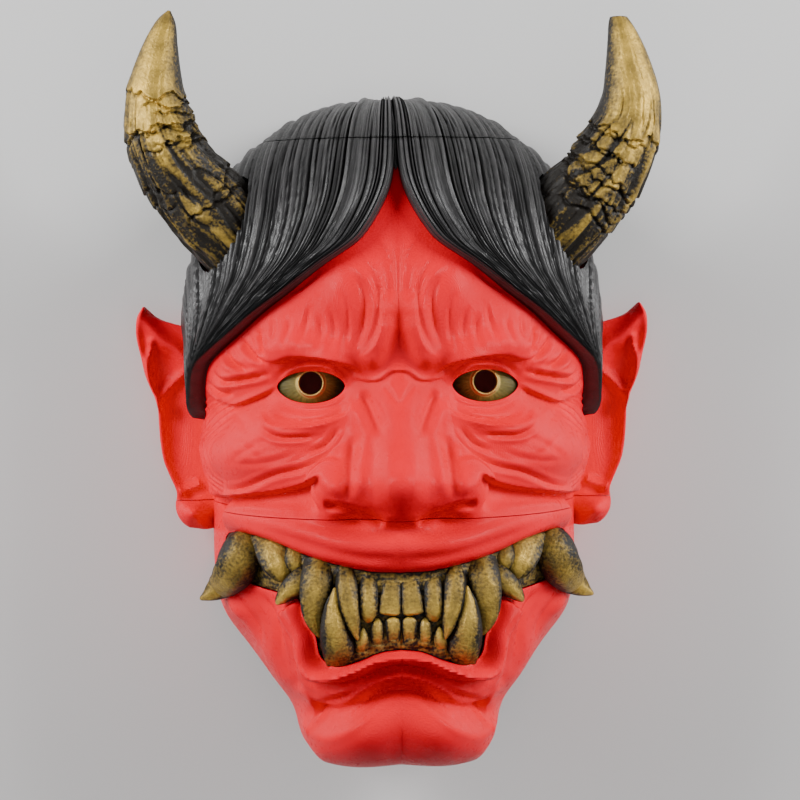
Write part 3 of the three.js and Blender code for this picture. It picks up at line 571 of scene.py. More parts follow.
# The ears belong to the upper face: pointed leaves with a thin raised edge, folded ridges that part
# three hollows, and a round lobe.
EAR_EDGE = [
    (75, -50.2), (79.4, -49.8), (82.8, -47.5), (85, -44), (85.6, -40.5), (85, -37), (85.3, -34.5),
    (87.7, -29), (89.9, -23.3), (91.1, -16.5), (91.7, -9), (92.2, -0.9), (94.4, 4.5), (96.8, 10.4), (98.2, 16.6),
    (99.8, 23.5), (100.2, 27.8), (99.6, 32.8), (97.4, 37),
]
EAR_ROOT = [(73, -50.2), (68, -44), (68, 20), (74, 27.5), (84.5, 30.2), (91, 32.4), (94.6, 35.2), (96.4, 37)]
EAR_HOLLOW, EAR_THICK, EAR_THIN, EAR_ROOT_DEPTH = 12, 4.5, 0.2, 5
EAR_EDGE_RISE, EAR_EDGE_WIDTH, EAR_TIP_RISE, EAR_ROUND = 3.6, 2.2, 1.5, 2.2
# Above this level the ear's root side is a free edge too.
EAR_FREE = 24
LOBE = dict(at=(78.6, -43.6), size=(5.6, 5), rise=9)
EAR_FOLDS = [
    dict(
        path=[(96.5, 40), (97.2, 33), (93.6, 27.4), (89, 23), (84, 19.8), (80, 14), (77, 8)],
        width=3.3,
        rise=5.2,
    ),
    dict(path=[(94.5, 26), (94.4, 21), (95.4, 16), (95, 8), (93, 2), (91, -4)], width=1.5, rise=3, fade=0.1),
    dict(path=[(77, 15), (81.8, 11), (85, 8), (88, 5), (91.4, 0), (91, -6)], width=1.8, rise=3.2),
    dict(path=[(84, -35.6), (81, -34.4), (78.5, -33.6), (75, -32)], width=1.8, rise=2.4, fade=0.1),
]
EAR_HOLLOWS = [
    dict(at=(84.5, -10), size=(4.4, 20), rise=-1.6),
    dict(at=(89.5, 11.5), size=(4.5, 6), rise=-1.4),
    dict(at=(79, -37.6), size=(3, 2.4), rise=-1.5),
]


def ear_front(x, y, inward, outer):
    """Height of the ear's front: inward is the distance from any free edge, outer from the outer one."""
    z = EAR_HOLLOW + EAR_EDGE_RISE * np.exp(-((outer / EAR_EDGE_WIDTH) ** 2)) * smooth(-42, -35, y)
    z += EAR_TIP_RISE * smooth(4, 30, y)
    z += swellings(x, y, (*EAR_HOLLOWS, LOBE))
    z += rolls(x, y, EAR_FOLDS)
    return z - EAR_ROUND * (1 - np.sqrt(1 - (1 - np.clip(inward / EAR_ROUND, 0, 1)) ** 2))


def ear(side):
    edge, root = curve_through(EAR_EDGE, 200), curve_through(EAR_ROOT, 200)
    foot, tip = EAR_EDGE[0][1], EAR_EDGE[-1][1]

    def place(around, along):
        y = foot + (tip - foot) * along
        inner, outer = (np.interp(y, line[:, 1], line[:, 0]) for line in (root, edge))
        across = 1 - np.abs(2 * around - 1)
        x = inner + (outer - inner) * np.sin(across * math.pi / 2)
        inward = np.minimum(outer - x, np.where(y > EAR_FREE, x - inner, np.inf))
        inward = np.minimum(inward, np.minimum(tip - y, 0.8 * (y - foot)) + 0.3)
        front = ear_front(x, y, inward, outer - x)
        rim = np.clip(inward / EAR_THICK, 0, 1)
        back = front - EAR_THICK * np.sqrt(np.clip(1 - (1 - rim) ** 2, 0, 1))
        back -= EAR_ROOT_DEPTH * smooth(86, 72, x)
        z = np.where(around < 0.5, front, np.minimum(back, front - EAR_THIN))
        return np.stack([side * x, y, z], axis=-1)

    return skin("ear", 79, 110, place)


# The openings: the almond eyes with room behind them for their shells, the mouth, and the throat, where
# the rim slants up under the jaw.
EYE_AT, EYE_FRONT, LID_HALF, UPPER_LID, LOWER_LID = (32, 6.2), 82, 12.4, 5.6, 6.2
LID_DROP, LID_POINT, EYE_RADIUS, EYE_SHELL, EYE_REACH = 1.2, 1.15, 17, 2.6, 14.2
MOUTH_CUT_FOOT, EYE_CUT_FOOT, THROAT_CUT_FOOT = 25, 55, -30
THROAT_START, THROAT_END, THROAT_SLOPE = -58, -156, 0.55


def mouth_outline(grow):
    half = curve_through(MOUTH, 150)
    ahead = np.gradient(half, axis=0)
    ahead /= np.linalg.norm(ahead, axis=1, keepdims=True)
    half = half + grow * np.stack([-ahead[:, 1], ahead[:, 0]], axis=-1)
    half[[0, -1], 0] = 0
    return np.vstack([half, half[-2:0:-1] * (-1, 1)])


def lids(side):
    turn = np.linspace(0, 2 * math.pi, 72, endpoint=False)
    rise = np.sin(turn)
    half_height = np.where(rise > 0, UPPER_LID, LOWER_LID)
    x = EYE_AT[0] + LID_HALF * np.cos(turn)
    y = EYE_AT[1] - LID_DROP + half_height * np.sign(rise) * np.abs(rise) ** LID_POINT
    return np.stack([side * x, y], axis=-1)


def dome(radius, first, last, steps):
    out = np.linspace(first, last, steps)
    return [(o, EYE_FRONT - EYE_RADIUS + math.sqrt(radius**2 - o**2)) for o in out]


def cut_openings(face):
    """Cuts the mouth and the throat."""
    combine(face, prism(mouth_outline(0), MOUTH_CUT_FOOT), "DIFFERENCE")
    foot = [(THROAT_END, THROAT_CUT_FOOT), (THROAT_START, THROAT_CUT_FOOT)]
    deep = THROAT_SLOPE * (THROAT_START - THROAT_END)
    combine(face, block(foot, [(THROAT_END, deep), (THROAT_START, 0)]), "DIFFERENCE")


def cut_eyes(face):
    """Cuts the almond openings, and the hollow that each eye shell sits in."""
    near_axis, room = 0.01, 2 * SEAM_GAP
    back = EYE_RADIUS - EYE_SHELL - room
    reach = EYE_REACH + room
    profile = dome(EYE_RADIUS + room, near_axis, reach, 12) + [(reach, EYE_FRONT - EYE_RADIUS)]
    profile += dome(back, near_axis, back - room, 12)[::-1]
    for side in (-1, 1):
        combine(face, prism(lids(side), EYE_CUT_FOOT), "DIFFERENCE")
        combine(face, turned(profile, (side * EYE_AT[0], EYE_AT[1]), 64), "DIFFERENCE")


# Glossy red filament, printed lying on its rim: every layer leaves a fine line round the form.
LAYERS_PER_METRE = 5000


def new_paint(name):
    """A material and its shader."""
    paint = bpy.data.materials.new(name)
    paint.use_nodes = True
    return paint, paint.node_tree.nodes["Principled BSDF"]


def add(paint, kind, inputs, **settings):
    """A shader node, with its settings and what goes into it: plain values or other nodes' sockets."""
    node = paint.node_tree.nodes.new("ShaderNode" + kind)
    for name, value in settings.items():
        setattr(node, name, value)
    feed(paint, node, inputs)
    return node


def feed(paint, node, inputs):
    for name, value in inputs.items():
        if isinstance(value, bpy.types.NodeSocket):
            paint.node_tree.links.new(value, node.inputs[name])
        else:
            node.inputs[name].default_value = value


def sums(paint, operation, *values):
    node = add(paint, "Math", dict(enumerate(values)), operation=operation)
    return node.outputs[0]


def stretch(paint, value, start, end, low, high):
    """Goes from low, where value is at start, to high at its end."""
    span = {"Value": value, "From Min": start, "From Max": end, "To Min": low, "To Max": high}
    return add(paint, "MapRange", span).outputs["Result"]


def speckle(paint, place, scale, detail, low, high):
    """Noise stretched between two values."""
    noise = add(paint, "TexNoise", {"Vector": place, "Scale": scale, "Detail": detail})
    return stretch(paint, noise.outputs["Fac"], 0.3, 0.7, low, high)


def blend(paint, share, low, high):
    mix = add(paint, "Mix", {"Factor": share}, data_type="RGBA")
    for socket, value in ((6, low), (7, high)):
        if isinstance(value, bpy.types.NodeSocket):
            paint.node_tree.links.new(value, mix.inputs[socket])
        else:
            mix.inputs[socket].default_value = value
    return mix.outputs[2]


def object_place(paint):
    return add(paint, "TexCoord", {}).outputs["Object"]


def bump(paint, height, strength, depth, **under):
    inputs = {"Height": height, "Strength": strength, "Distance": depth, **under}
    return add(paint, "Bump", inputs).outputs["Normal"]


def layer_bump(paint, place, depth):
    """The steps between printed layers, as a bump."""
    z = add(paint, "SeparateXYZ", {"Vector": place}).outputs["Z"]
    wobble = speckle(paint, place, 90, 2, -0.15, 0.15)
    layers = sums(paint, "ADD", sums(paint, "MULTIPLY", z, LAYERS_PER_METRE), wobble)
    return bump(paint, sums(paint, "PINGPONG", layers, 0.5), 1, depth)


def red_filament():
    paint, shader = new_paint("red_filament")
    place = object_place(paint)
    cloudy, grit = speckle(paint, place, 60, 4, 0, 1), speckle(paint, place, 1400, 2, 0, 1)
    feed(paint, shader, {
        "Base Color": blend(paint, cloudy, (0.86, 0.001, 0.014, 1), (0.95, 0.002, 0.02, 1)),
        "Roughness": speckle(paint, place, 420, 3, 0.24, 0.38),
        "Normal": bump(paint, grit, 0.6, 0.00009, Normal=layer_bump(paint, place, 0.0001)),
        "Specular IOR Level": 0.12,
    })
    return paint


RED = red_filament()


def finish(piece, node, paint, sharp=40):
    """Shades a piece smooth but for edges sharper than so many degrees, paints it and fixes it on."""
    piece.data.shade_smooth()
    piece.data.set_sharp_from_angle(angle=math.radians(sharp))
    piece.data.materials.clear()
    piece.data.materials.append(paint)
    for face in piece.data.polygons:
        face.material_index = 0
    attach(piece, "root")
    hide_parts(node)


def face_print(name, columns, levels, low, high):
    """The carved wall with its ears, between two seams."""
    face = head_solid(name, columns, levels, relief)
    for side in (-1, 1):
        combine(face, ear(side), "UNION")
    combine(face, inside_of_head(), "DIFFERENCE")
    combine(face, between_seams(low, high), "INTERSECT")
    return face


# Rows stand close together where this print shows, and further apart where it is cut off or covered.
SEAM_ROWS_FROM, HAIR_COVERS = -46, 62
upper_levels = levels_between([(CHIN_FOOT, 8), (SEAM_ROWS_FROM, 208), (HAIR_COVERS, 18), (HEAD_TOP, 0)])
upper_seams = (LIP_SEAM + SEAM_GAP / 2, CROWN_SEAM - SEAM_GAP / 2)
face_upper = face_print("face_upper_skin", 370, upper_levels, *upper_seams)
cut_eyes(face_upper)
cut_openings(face_upper)
finish(face_upper, "face_upper", RED)

# The lower face is a second print in the same red, from the lip seam to the chin. It is glued under the
# upper one, and carries the lips, the jaw and the ends of the lobes.
SEAM_ROWS_TO = -36
lower_levels = levels_between([(CHIN_FOOT, 196), (SEAM_ROWS_TO, 8), (HEAD_TOP, 0)])
face_lower = face_print("face_lower_skin", 420, lower_levels, -FAR, LIP_SEAM - SEAM_GAP / 2)
cut_openings(face_lower)
finish(face_lower, "face_lower", RED)

# The hair is two satin charcoal prints that meet at the crown seam. In each half, combed locks leave the
# rim along the side of the head and gather in a point before the ear, and a strip joins the halves under
# the parting. It is glued over the brow, and carved as strands with deep grooves between the locks.
PARTING, PARTING_AT_RIM = 0.25, 0.004
HAIRLINE = [
    (PARTING, 104), (PARTING, 92), (0.9, 83), (2.4, 76.5), (5.1, 70), (9.2, 62.7), (14.5, 56), (25.4, 48.2),
    (38.2, 39.1), (53, 28.3), (63.3, 19.5), (69.3, 13), (71.4, 5.1), (72, -1), (71.8, -7.4),
]
HAIR_BACK = [(35, 0), (32, 12), (25, 20), (10, 26), (-1, 27), (-7.4, 28)]
RIM_PULL, RIM_SPREAD, HAIR_RISE, HAIR_EDGE, HAIR_ROOT, HAIR_FOOT = 0.16, 1.3, 6, 1.2, 1, -5
LOCKS, LOCK_RISE, SWEEP, EDGE_SHARE, EDGE_TIGHT = 6, 0.9, 0.1, 0.045, 0.16
TIP_ROUND, TIP_SHOULDER, TIP_SHARE, TIP_FOOT, TIP_REACH = 0.02, 0.7, 0.03, -7.4, 8.5


# The hair is laid out on a flat disc, whose middle is the middle of the face and whose edge is the rim.
def to_disc(turn, y):
    rise = math.pi * (share_at(y) - 0.5)
    x, up, out = np.cos(rise) * np.sin(turn), np.sin(rise), np.cos(rise) * np.cos(turn)
    reach = np.arccos(np.clip(out, 0, 1)) / (math.pi / 2)
    return np.stack([x, up], axis=-1) * (reach / np.hypot(x, up))[..., None]


def from_disc(place):
    reach = np.minimum(1, np.hypot(place[:, 0], place[:, 1]))
    angle = reach * math.pi / 2
    flat = place / np.maximum(1e-9, np.hypot(place[:, 0], place[:, 1]))[:, None]
    y = level_at(np.arcsin(np.clip(np.sin(angle) * flat[:, 1], -1, 1)) / math.pi + 0.5)
    return np.arctan2(np.sin(angle) * flat[:, 0], np.cos(angle)), y


line_x, line_y = np.array(HAIRLINE, float).T
front_line = np.vstack([[PARTING_AT_RIM, 1], to_disc(turn_at(line_x, line_y), line_y)])
back_y, back_z = np.array(HAIR_BACK, float).T
back_line = to_disc(np.arccos((back_z / depth(back_y)) ** (SECTION_BOW / 2)), back_y)
rim_end = math.atan2(back_line[0, 1], back_line[0, 0])
front_line, back_line = curve_through(front_line, 200), curve_through(back_line, 200)


def on_line(line, share):
    at = np.clip(share, 0, 1) * (len(line) - 1)
    return np.stack([np.interp(at, np.arange(len(line)), line[:, k]) for k in (0, 1)], axis=-1)


def on_rim(share):
    angle = math.pi / 2 + (rim_end - math.pi / 2) * share**RIM_SPREAD
    return np.stack([np.cos(angle), np.sin(angle)], axis=-1)


def hair_place(strand, run):
    """Where a strand, from 0 at the hairline to 1 at the back, is after a run, from 0 at the rim to 1."""
    s, r = strand[:, None], run[:, None]
    start = on_rim(strand)
    r = r * (1 - TIP_ROUND * (1 - np.sqrt(1 - (1 - np.clip(s / TIP_SHOULDER, 0, 1)) ** 2) + s**3))
    run = r[:, 0]
    tip = front_line[-1] * (1 - s) + back_line[-1] * s
    edges = on_line(front_line, run) * (1 - s) + on_line(back_line, run) * s
    corners = (on_rim(np.zeros(1)) * (1 - s) + on_rim(np.ones(1)) * s) * (1 - r) + tip * r
    pull = RIM_PULL * np.sin(math.pi * s) * r * (1 - r) ** 2 * 4
    return from_disc(edges + start * (1 - r) + tip * r - corners - start * pull)


STRAND_SEED, STRAND_COUNT = 11, 64


def make_strands():
    """Edges of the strands across the half, how deep each groove is and the run that it spans, and how
    many fine lines each strand has and how far it stands up."""
    dice, count = np.random.default_rng(STRAND_SEED), STRAND_COUNT
    widths = dice.uniform(0.55, 1.5, count)
    edges = np.concatenate([[0], np.cumsum(widths)])
    edges *= (1 + SWEEP) / edges[-1]
    depth_of = dice.uniform(0.8, 1.9, count + 1)
    start = dice.uniform(-0.6, 0.25, count + 1)
    end = dice.uniform(0.35, 0.9, count + 1)
    end = np.maximum(end, (edges - 1) / SWEEP + 0.4)
    # Every third groove runs on past the end, and so does a deep one between each lock and the next.
    end[::3] = 1.3
    for lock in range(4, count, 7):
        depth_of[lock], start[lock], end[lock] = 2.9, -1, 1.4
    return edges, depth_of, start, end, dice.integers(2, 4, count), dice.uniform(-0.9, 0.9, count)


STRAND_EDGES, GROOVE_DEPTH, GROOVE_START, GROOVE_END, FINE_LINES, STRAND_RISE = make_strands()


def groove_depth(groove, run):
    fade = smooth(0, 0.12, run - GROOVE_START[groove]) * smooth(0, 0.18, GROOVE_END[groove] - run)
    return GROOVE_DEPTH[groove] * fade


def strands(strand, run):
    """Depth of the carving below the top of the hair."""
    calm = 4 * run * (1 - run)
    wave = 0.007 * np.sin(2 * math.pi * (1.3 * run + 2 * strand))
    wave += 0.004 * np.sin(2 * math.pi * (2.7 * run - 3.1 * strand) + 1)
    s = np.clip(strand + wave * calm * np.sin(math.pi * strand), 0, 1) * (1 + SWEEP * run)
    i = np.clip(np.searchsorted(STRAND_EDGES, s, side="right") - 1, 0, len(FINE_LINES) - 1)
    u = (s - STRAND_EDGES[i]) / (STRAND_EDGES[i + 1] - STRAND_EDGES[i])
    deep = groove_depth(i, run) * (1 - u) + groove_depth(i + 1, run) * u
    arch = 1 - np.abs(2 * u**0.7 - 1) ** 2
    fine = 0.3 * (np.abs(np.cos(math.pi * FINE_LINES[i] * u)) - 1)
    thin = 1 - 0.35 * smooth(0.7, 1, run)
    return (deep * (arch - 1) + fine + STRAND_RISE[i] * arch * smooth(0.7, 0.1, run)) * thin


def broad_relief(x, y, z):
    side = np.abs(x)
    rise = nose(side, y) + swellings(side, y, MASSES)
    rise += rolls(side, y, MAIN_ROLLS)
    return np.maximum(0, rise * off_the_rim(z))


def hair_lift(strand, run, y):
    """Height of the locks over the head: rounded at their edges and end, and carved between them."""
    edge_share = EDGE_SHARE * (EDGE_TIGHT + (1 - EDGE_TIGHT) * smooth(0.25, 0.5, run))
    edge = round_off(1 - np.minimum(strand, 1 - strand) / edge_share, 2)
    end = round_off(1 - np.minimum((1 - run) / TIP_SHARE, (y - TIP_FOOT) / TIP_REACH), 2)
    lock = LOCK_RISE * (np.abs(np.cos(math.pi * LOCKS * strand)) - 0.5)
    carved = strands(strand, run) * np.where(strand < 0.5, np.sqrt(edge), edge * smooth(1, 0.9, strand))
    return (HAIR_ROOT + HAIR_EDGE + (HAIR_RISE - HAIR_EDGE + lock) * edge + carved) * end - HAIR_ROOT


HAIR_COLUMNS, HAIR_UNDER, HAIR_RUNS = 350, 20, 122
COLUMN_GATHER, GROOVE_SHADE_DEPTH = 0.018, 1.5


def strand_at(share):
    """Columns gather at the edges and in the middle of the half."""
    return share - COLUMN_GATHER * np.sin(4 * math.pi * share)


def run_at(along):
    """The first row stands below the rim, and the others share out the run."""
    return np.clip((along * (HAIR_RUNS + 1) - 1) / HAIR_RUNS, 0, 1)


def hair_half(side):
    """Columns run over the locks from the hairline to the back, and a few return under them."""
    columns = HAIR_COLUMNS + HAIR_UNDER + 1

    def place(around, along):
        column = np.rint(around * columns).astype(int)
        under = column > HAIR_COLUMNS
        share = np.where(under, (columns - column) / (HAIR_UNDER + 1), column / HAIR_COLUMNS)
        strand, run = strand_at(share), run_at(along)
        turn, y = hair_place(strand, run)
        points, normal = head_point(turn, y), head_normal(turn, y)
        lift = np.where(under, -HAIR_ROOT, hair_lift(strand, run, y)) + broad_relief(*points.T)
        points = points + normal * lift[:, None]
        points[along == 0, 2] = HAIR_FOOT
        points[:, 0] *= side
        return points

    # The paint is near black down in the grooves and charcoal on the strand tops: painted shade in the grooves.
    def raised(around, along):
        share = np.clip(np.rint(around * columns) / HAIR_COLUMNS, 0, 1)
        return np.clip(1 + strands(strand_at(share), run_at(along)) / GROOVE_SHADE_DEPTH, 0, 1)

    return skin("hair_half", columns, HAIR_RUNS + 1, place, raised)


def rub_and_painted_light_share(paint):
    """The share that skin stored: rubbed gold and patina, painted highlight on the side that faces the lamps,
    and for the hair painted shade in the grooves.
    """
    return add(paint, "Attribute", {}, attribute_name="raised").outputs["Fac"]


def charcoal_filament():
    paint, shader = new_paint("charcoal_filament")
    place = object_place(paint)
    # Painted shade: the grooves go near black, and the strand tops keep the charcoal colour.
    ridge = sums(paint, "MULTIPLY", rub_and_painted_light_share(paint), speckle(paint, place, 260, 4, 0.7, 1.15))
    grit = speckle(paint, place, 1300, 3, 0, 1)
    feed(paint, shader, {
        "Base Color": blend(paint, ridge, (0.0015, 0.0015, 0.0015, 1), (0.047, 0.0455, 0.0465, 1)),
        "Roughness": speckle(paint, place, 700, 2, 0.32, 0.46),
        "Normal": bump(paint, grit, 0.6, 0.00008, Normal=layer_bump(paint, place, 0.00006)),
    })
    return paint


CHARCOAL = charcoal_filament()


# Holes for the horns, a little wider than they are.
HORN_SPINE = [
    (48, 51, 42, 16.6), (62.8, 65.8, 52, 17.2), (79, 84, 58, 15.3), (86.3, 97.5, 61, 13.6),
    (88.9, 110.5, 63, 11.4), (88.2, 121.5, 64, 9.2), (86.6, 132, 64, 6.6), (84.5, 141, 63.2, 3.7),
    (83.4, 145.7, 62.5, 0.6),
]
HORN_ROOM, TURN = 1, 2 * math.pi


def swept(spine, swell, flatness=1, bow=2):
    """Place on a bent tapering form through (x, y, z, radius) points. swell adds to the radius, and bow says
    how boxy its section is: 2 is round."""
    line = curve_through(spine, 300)
    ahead = np.gradient(line[:, :3], axis=0)
    ahead /= np.linalg.norm(ahead, axis=1, keepdims=True)
    side = np.cross((0, 0, 1), ahead)
    side /= np.linalg.norm(side, axis=1, keepdims=True)
    out = np.cross(ahead, side)
    steps = np.arange(len(line))

    def at(values, along):
        place = along * (len(line) - 1)
        return np.stack([np.interp(place, steps, column) for column in values.T], axis=-1)

    def place(around, along):
        centre = at(line, along)
        radius = (centre[:, 3] + swell(around, along))[:, None]
        turn = TURN * around[:, None]
        wide = np.sign(np.cos(turn)) * np.abs(np.cos(turn)) ** (2 / bow)
        high = np.sign(np.sin(turn)) * np.abs(np.sin(turn)) ** (2 / bow)
        return centre[:, :3] + radius * (wide * at(side, along) + flatness * high * at(out, along))

    return place


def horn_room(side):
    grown = swept(HORN_SPINE, lambda u, v: HORN_ROOM + 0 * u)
    return skin("horn_room", 48, 40, lambda u, v: grown(u, v) * (side, 1, 1))


def coarse_head(rise):
    return head_solid("coarse_head", 90, levels_between([(CHIN_FOOT, 90), (HEAD_TOP, 0)]), rise)


STRIP_RISE, STRIP = 1, [(0, 84), (4, 92), (4, 112), (-4, 112), (-4, 92)]
strip = coarse_head(lambda x, y, z: broad_relief(x, y, z) + STRIP_RISE)
combine(strip, prism(STRIP, 0), "INTERSECT")
hair = hair_half(-1)
combine(hair, hair_half(1), "UNION")
combine(hair, strip, "UNION")
for side in (-1, 1):
    combine(hair, horn_room(side), "DIFFERENCE")
crown = hair.copy()
crown.data = hair.data.copy()
crown.name = "hair_crown_locks"
bpy.context.collection.objects.link(crown)
combine(crown, coarse_head(lambda x, y, z: 0 * x), "UNION")
combine(crown, inside_of_head(), "DIFFERENCE")
combine(crown, between_seams(CROWN_SEAM + SEAM_GAP / 2, FAR), "INTERSECT")
finish(crown, "hair_crown", CHARCOAL)
hair.name = "hair_front_locks"
combine(hair, coarse_head(lambda x, y, z: broad_relief(x, y, z) - HAIR_ROOT), "DIFFERENCE")
combine(hair, between_seams(-FAR, CROWN_SEAM - SEAM_GAP / 2), "INTERSECT")
finish(hair, "hair_front", CHARCOAL)


# The horns are one print each, plugged into the hair and glued: bent cones whose outer layer has split
# lengthwise and flaked in jagged plates below a smooth tip. They are painted black-brown, with gold
# rubbed over whatever stands proud and towards the tip, and more gold on the side that faces the lamps as
# a painted highlight, darker towards the sides as painted shade. The one on the right of the picture has lost
# its tip.
SPLITS, PLATES, SPLIT_WIDTH, PLATE_EDGE = 13, 14, 0.011, 0.8
BELOW_RIM = -10


def grain(u, v, across, up, seed):
    """Smooth random heights from -1 to 1, in across cells over u and up cells over v, each from 0 to 1."""
    cells = np.random.default_rng(seed).uniform(-1, 1, (across, up + 2))
    au, av = u * across, np.clip(v, 0, 1) * up
    i, j = np.floor(au).astype(int), np.floor(av).astype(int)
    fu, fv = smooth(0, 1, au - i), smooth(0, 1, av - j)
    low = cells[i % across, j] * (1 - fu) + cells[(i + 1) % across, j] * fu
    high = cells[i % across, j + 1] * (1 - fu) + cells[(i + 1) % across, j + 1] * fu
    return low * (1 - fv) + high * fv


def horn_carving(seed):
    dice = np.random.default_rng(seed)
    splits = [
        (dice.uniform(0, 1), dice.uniform(0.05, 0.4), dice.uniform(0.35, 0.66), dice.uniform(0.7, 1.5))
        for _ in range(SPLITS)
    ]
    plates = [
        (dice.uniform(0.26, 0.74), dice.uniform(0, 1), dice.uniform(0.12, 0.42)) for _ in range(PLATES)
    ]

    def twisted(u, v):
        return u + 0.025 * grain(u, v, 5, 6, seed + 1)

    def ridges(u, v):
        bark, twist = 1 - smooth(0.58, 0.76, v), twisted(u, v)
        h = bark * (0.3 * np.cos(TURN * 7 * twist) + 0.34 * grain(twist, v, 36, 7, seed + 2))
        h -= bark * 0.8 * np.exp(-((grain(twist, v, 26, 6, seed + 5) / 0.15) ** 2))
        return h + bark * 0.36 * grain(twist, v, 85, 16, seed + 3) + 0.1 * grain(twist, v, 60, 3, seed + 4)

    def flakes(u, v):
        h, twist = np.zeros_like(u), twisted(u, v)
        for at, low, high, deep in splits:
            waver = 0.012 * grain(np.zeros_like(v), v, 1, 19, int(seed + 99 * at))
            away = (twist - at + 0.5) % 1 - 0.5 + waver
            open_at = smooth(0, 0.07, v - low) * smooth(0, 0.07, high - v)
            h -= deep * open_at * np.exp(-((np.abs(away) / SPLIT_WIDTH) ** 1.3))
        for at, middle, reach in plates:
            jag = at + 0.024 * grain(u, np.full_like(v, at), 13, 2, int(seed + 555 * at))
            jag = jag + 0.012 * grain(u, np.full_like(v, at), 44, 2, int(seed + 777 * at))
            near = smooth(reach, 0.7 * reach, np.abs((u - middle + 0.5) % 1 - 0.5))
            past = v - jag
            h += near * PLATE_EDGE * (smooth(0, 0.006, past) * np.exp(-np.clip(past, 0, 1) / 0.035))
            h -= near * PLATE_EDGE * np.exp(-((past / 0.005) ** 2))
        return h

    return ridges, flakes


def horn(side, seed):
    ridges, flakes = horn_carving(seed)

    def raised(u, v):
        # Gold rubbed over the ridges and flakes and towards the tip, and painted highlight and shade: more gold
        # on the side that faces the lamps, darker towards the sides.
        painted_highlight_side = np.clip(np.sin(TURN * (u - 0.03)), 0, 1) ** 1.7
        tip = smooth(0.42, 0.72, v) * (1 - 0.45 * smooth(0.88, 1, v))
        rubbed = 0.6 * ridges(u, v) + 0.25 * flakes(u, v)
        return np.clip(0.14 + rubbed * (0.4 + 0.6 * painted_highlight_side) + painted_highlight_side * (0.24 + 0.62 * tip), 0, 1)

    grown = swept(HORN_SPINE, lambda u, v: ridges(u, v) + flakes(u, v))
    return skin("horn", 170, 230, lambda u, v: grown(u, v) * (side, 1, 1), raised)


def gold_rub_and_painted_highlight():
    """Black-brown paint with gold rubbed over the high spots, and more gold on the side that faces the lamps as
    a painted highlight.
    """
    paint, shader = new_paint("gold_over_brown")
    place = object_place(paint)
    broken = sums(paint, "ADD", rub_and_painted_light_share(paint), speckle(paint, place, 900, 4, -0.18, 0.18))
    broken = sums(paint, "ADD", broken, speckle(paint, place, 90, 3, -0.05, 0.05))
    gold = stretch(paint, broken, 0.25, 0.9, 0, 1)
    tone = blend(paint, speckle(paint, place, 150, 3, 0, 1), (0.32, 0.21, 0.045, 1), (0.72, 0.465, 0.08, 1))
    grit = speckle(paint, place, 900, 5, 0, 1)
    feed(paint, shader, {
        "Base Color": blend(paint, gold, (0.012, 0.009, 0.006, 1), tone),
        "Metallic": sums(paint, "MULTIPLY", gold, 0.55),
        "Roughness": speckle(paint, place, 500, 3, 0.4, 0.62),
        "Specular IOR Level": 0.3,
        "Normal": bump(paint, grit, 0.8, 0.00015, Normal=layer_bump(paint, place, 0.00004)),
    })
    return paint


GOLD = gold_rub_and_painted_highlight()

for node, side, seed in (("horn_left", -1, 3), ("horn_right", 1, 8)):
    piece = horn(side, seed)
    piece.name = node + "_bark"
    combine(piece, coarse_head(lambda x, y, z: broad_relief(x, y, z) + SEAM_GAP), "DIFFERENCE")
    if side > 0:
        foot, head = ([(-FAR, z), (BROKEN_TIP, z)] for z in (BELOW_RIM, FAR))
        combine(piece, block(foot, head), "INTERSECT")
    finish(piece, node, GOLD)

# The eyes are two thin domed shells glued in behind the lids, each with a round sight hole and a raised
# ring round it. They are painted olive gold, brighter on the ring, with fine rays like an iris, and the
# gold darkens out towards the lids as painted shade.
SIGHT_HOLE, RING_WIDTH, RING_RISE, RING_INSIDE, RING_FOOT = 4.25, 1.1, 0.6, 0.25, 0.15


def iris_gold():
    paint, shader = new_paint("iris_gold")
    split = add(paint, "SeparateXYZ", {"Vector": object_place(paint)})
    across = sums(paint, "SUBTRACT", sums(paint, "ABSOLUTE", split.outputs["X"], 0), EYE_AT[0] * MM)
    up = sums(paint, "SUBTRACT", split.outputs["Y"], (EYE_AT[1] + SHIFT) * MM)
    squares = [sums(paint, "MULTIPLY", way, way) for way in (across, up)]
    out = sums(paint, "SQRT", sums(paint, "ADD", *squares), 0)
    round_it = sums(paint, "MULTIPLY", sums(paint, "ARCTAN2", up, across), 5)
    rays_at = add(paint, "CombineXYZ", {"X": round_it, "Y": sums(paint, "MULTIPLY", out, 90), "Z": 0})
    rays = speckle(paint, rays_at.outputs[0], 4, 4, 0, 1)
    bright = stretch(paint, out, 0.0053, 0.0059, 1, 0)
    # The gold darkens from the ring out to the edge of the shell: painted shade under the lids.
    painted_shade_fall = stretch(paint, out, 0.0055, 0.0125, 0.75, 0.05)
    iris = sums(paint, "MULTIPLY", painted_shade_fall, sums(paint, "ADD", rays, 0.45))
    colour = blend(paint, iris, (0.02, 0.016, 0.003, 1), (0.26, 0.21, 0.045, 1))
    feed(paint, shader, {
        "Base Color": blend(paint, bright, colour, (0.62, 0.45, 0.13, 1)),
        "Metallic": sums(paint, "MULTIPLY", bright, 0.7),
        "Roughness": 0.42,
        "Specular IOR Level": 0.2,
        "Normal": bump(paint, rays, 0.7, 0.00015),
    })
    return paint


def ring_rise(out):
    """The ring is a rounded bead that has already begun at the edge of the hole."""
    share = min(1, (out - SIGHT_HOLE + RING_INSIDE) / (RING_WIDTH + RING_INSIDE))
    return RING_RISE * math.sin(math.pi * share)


EYE_GOLD = iris_gold()

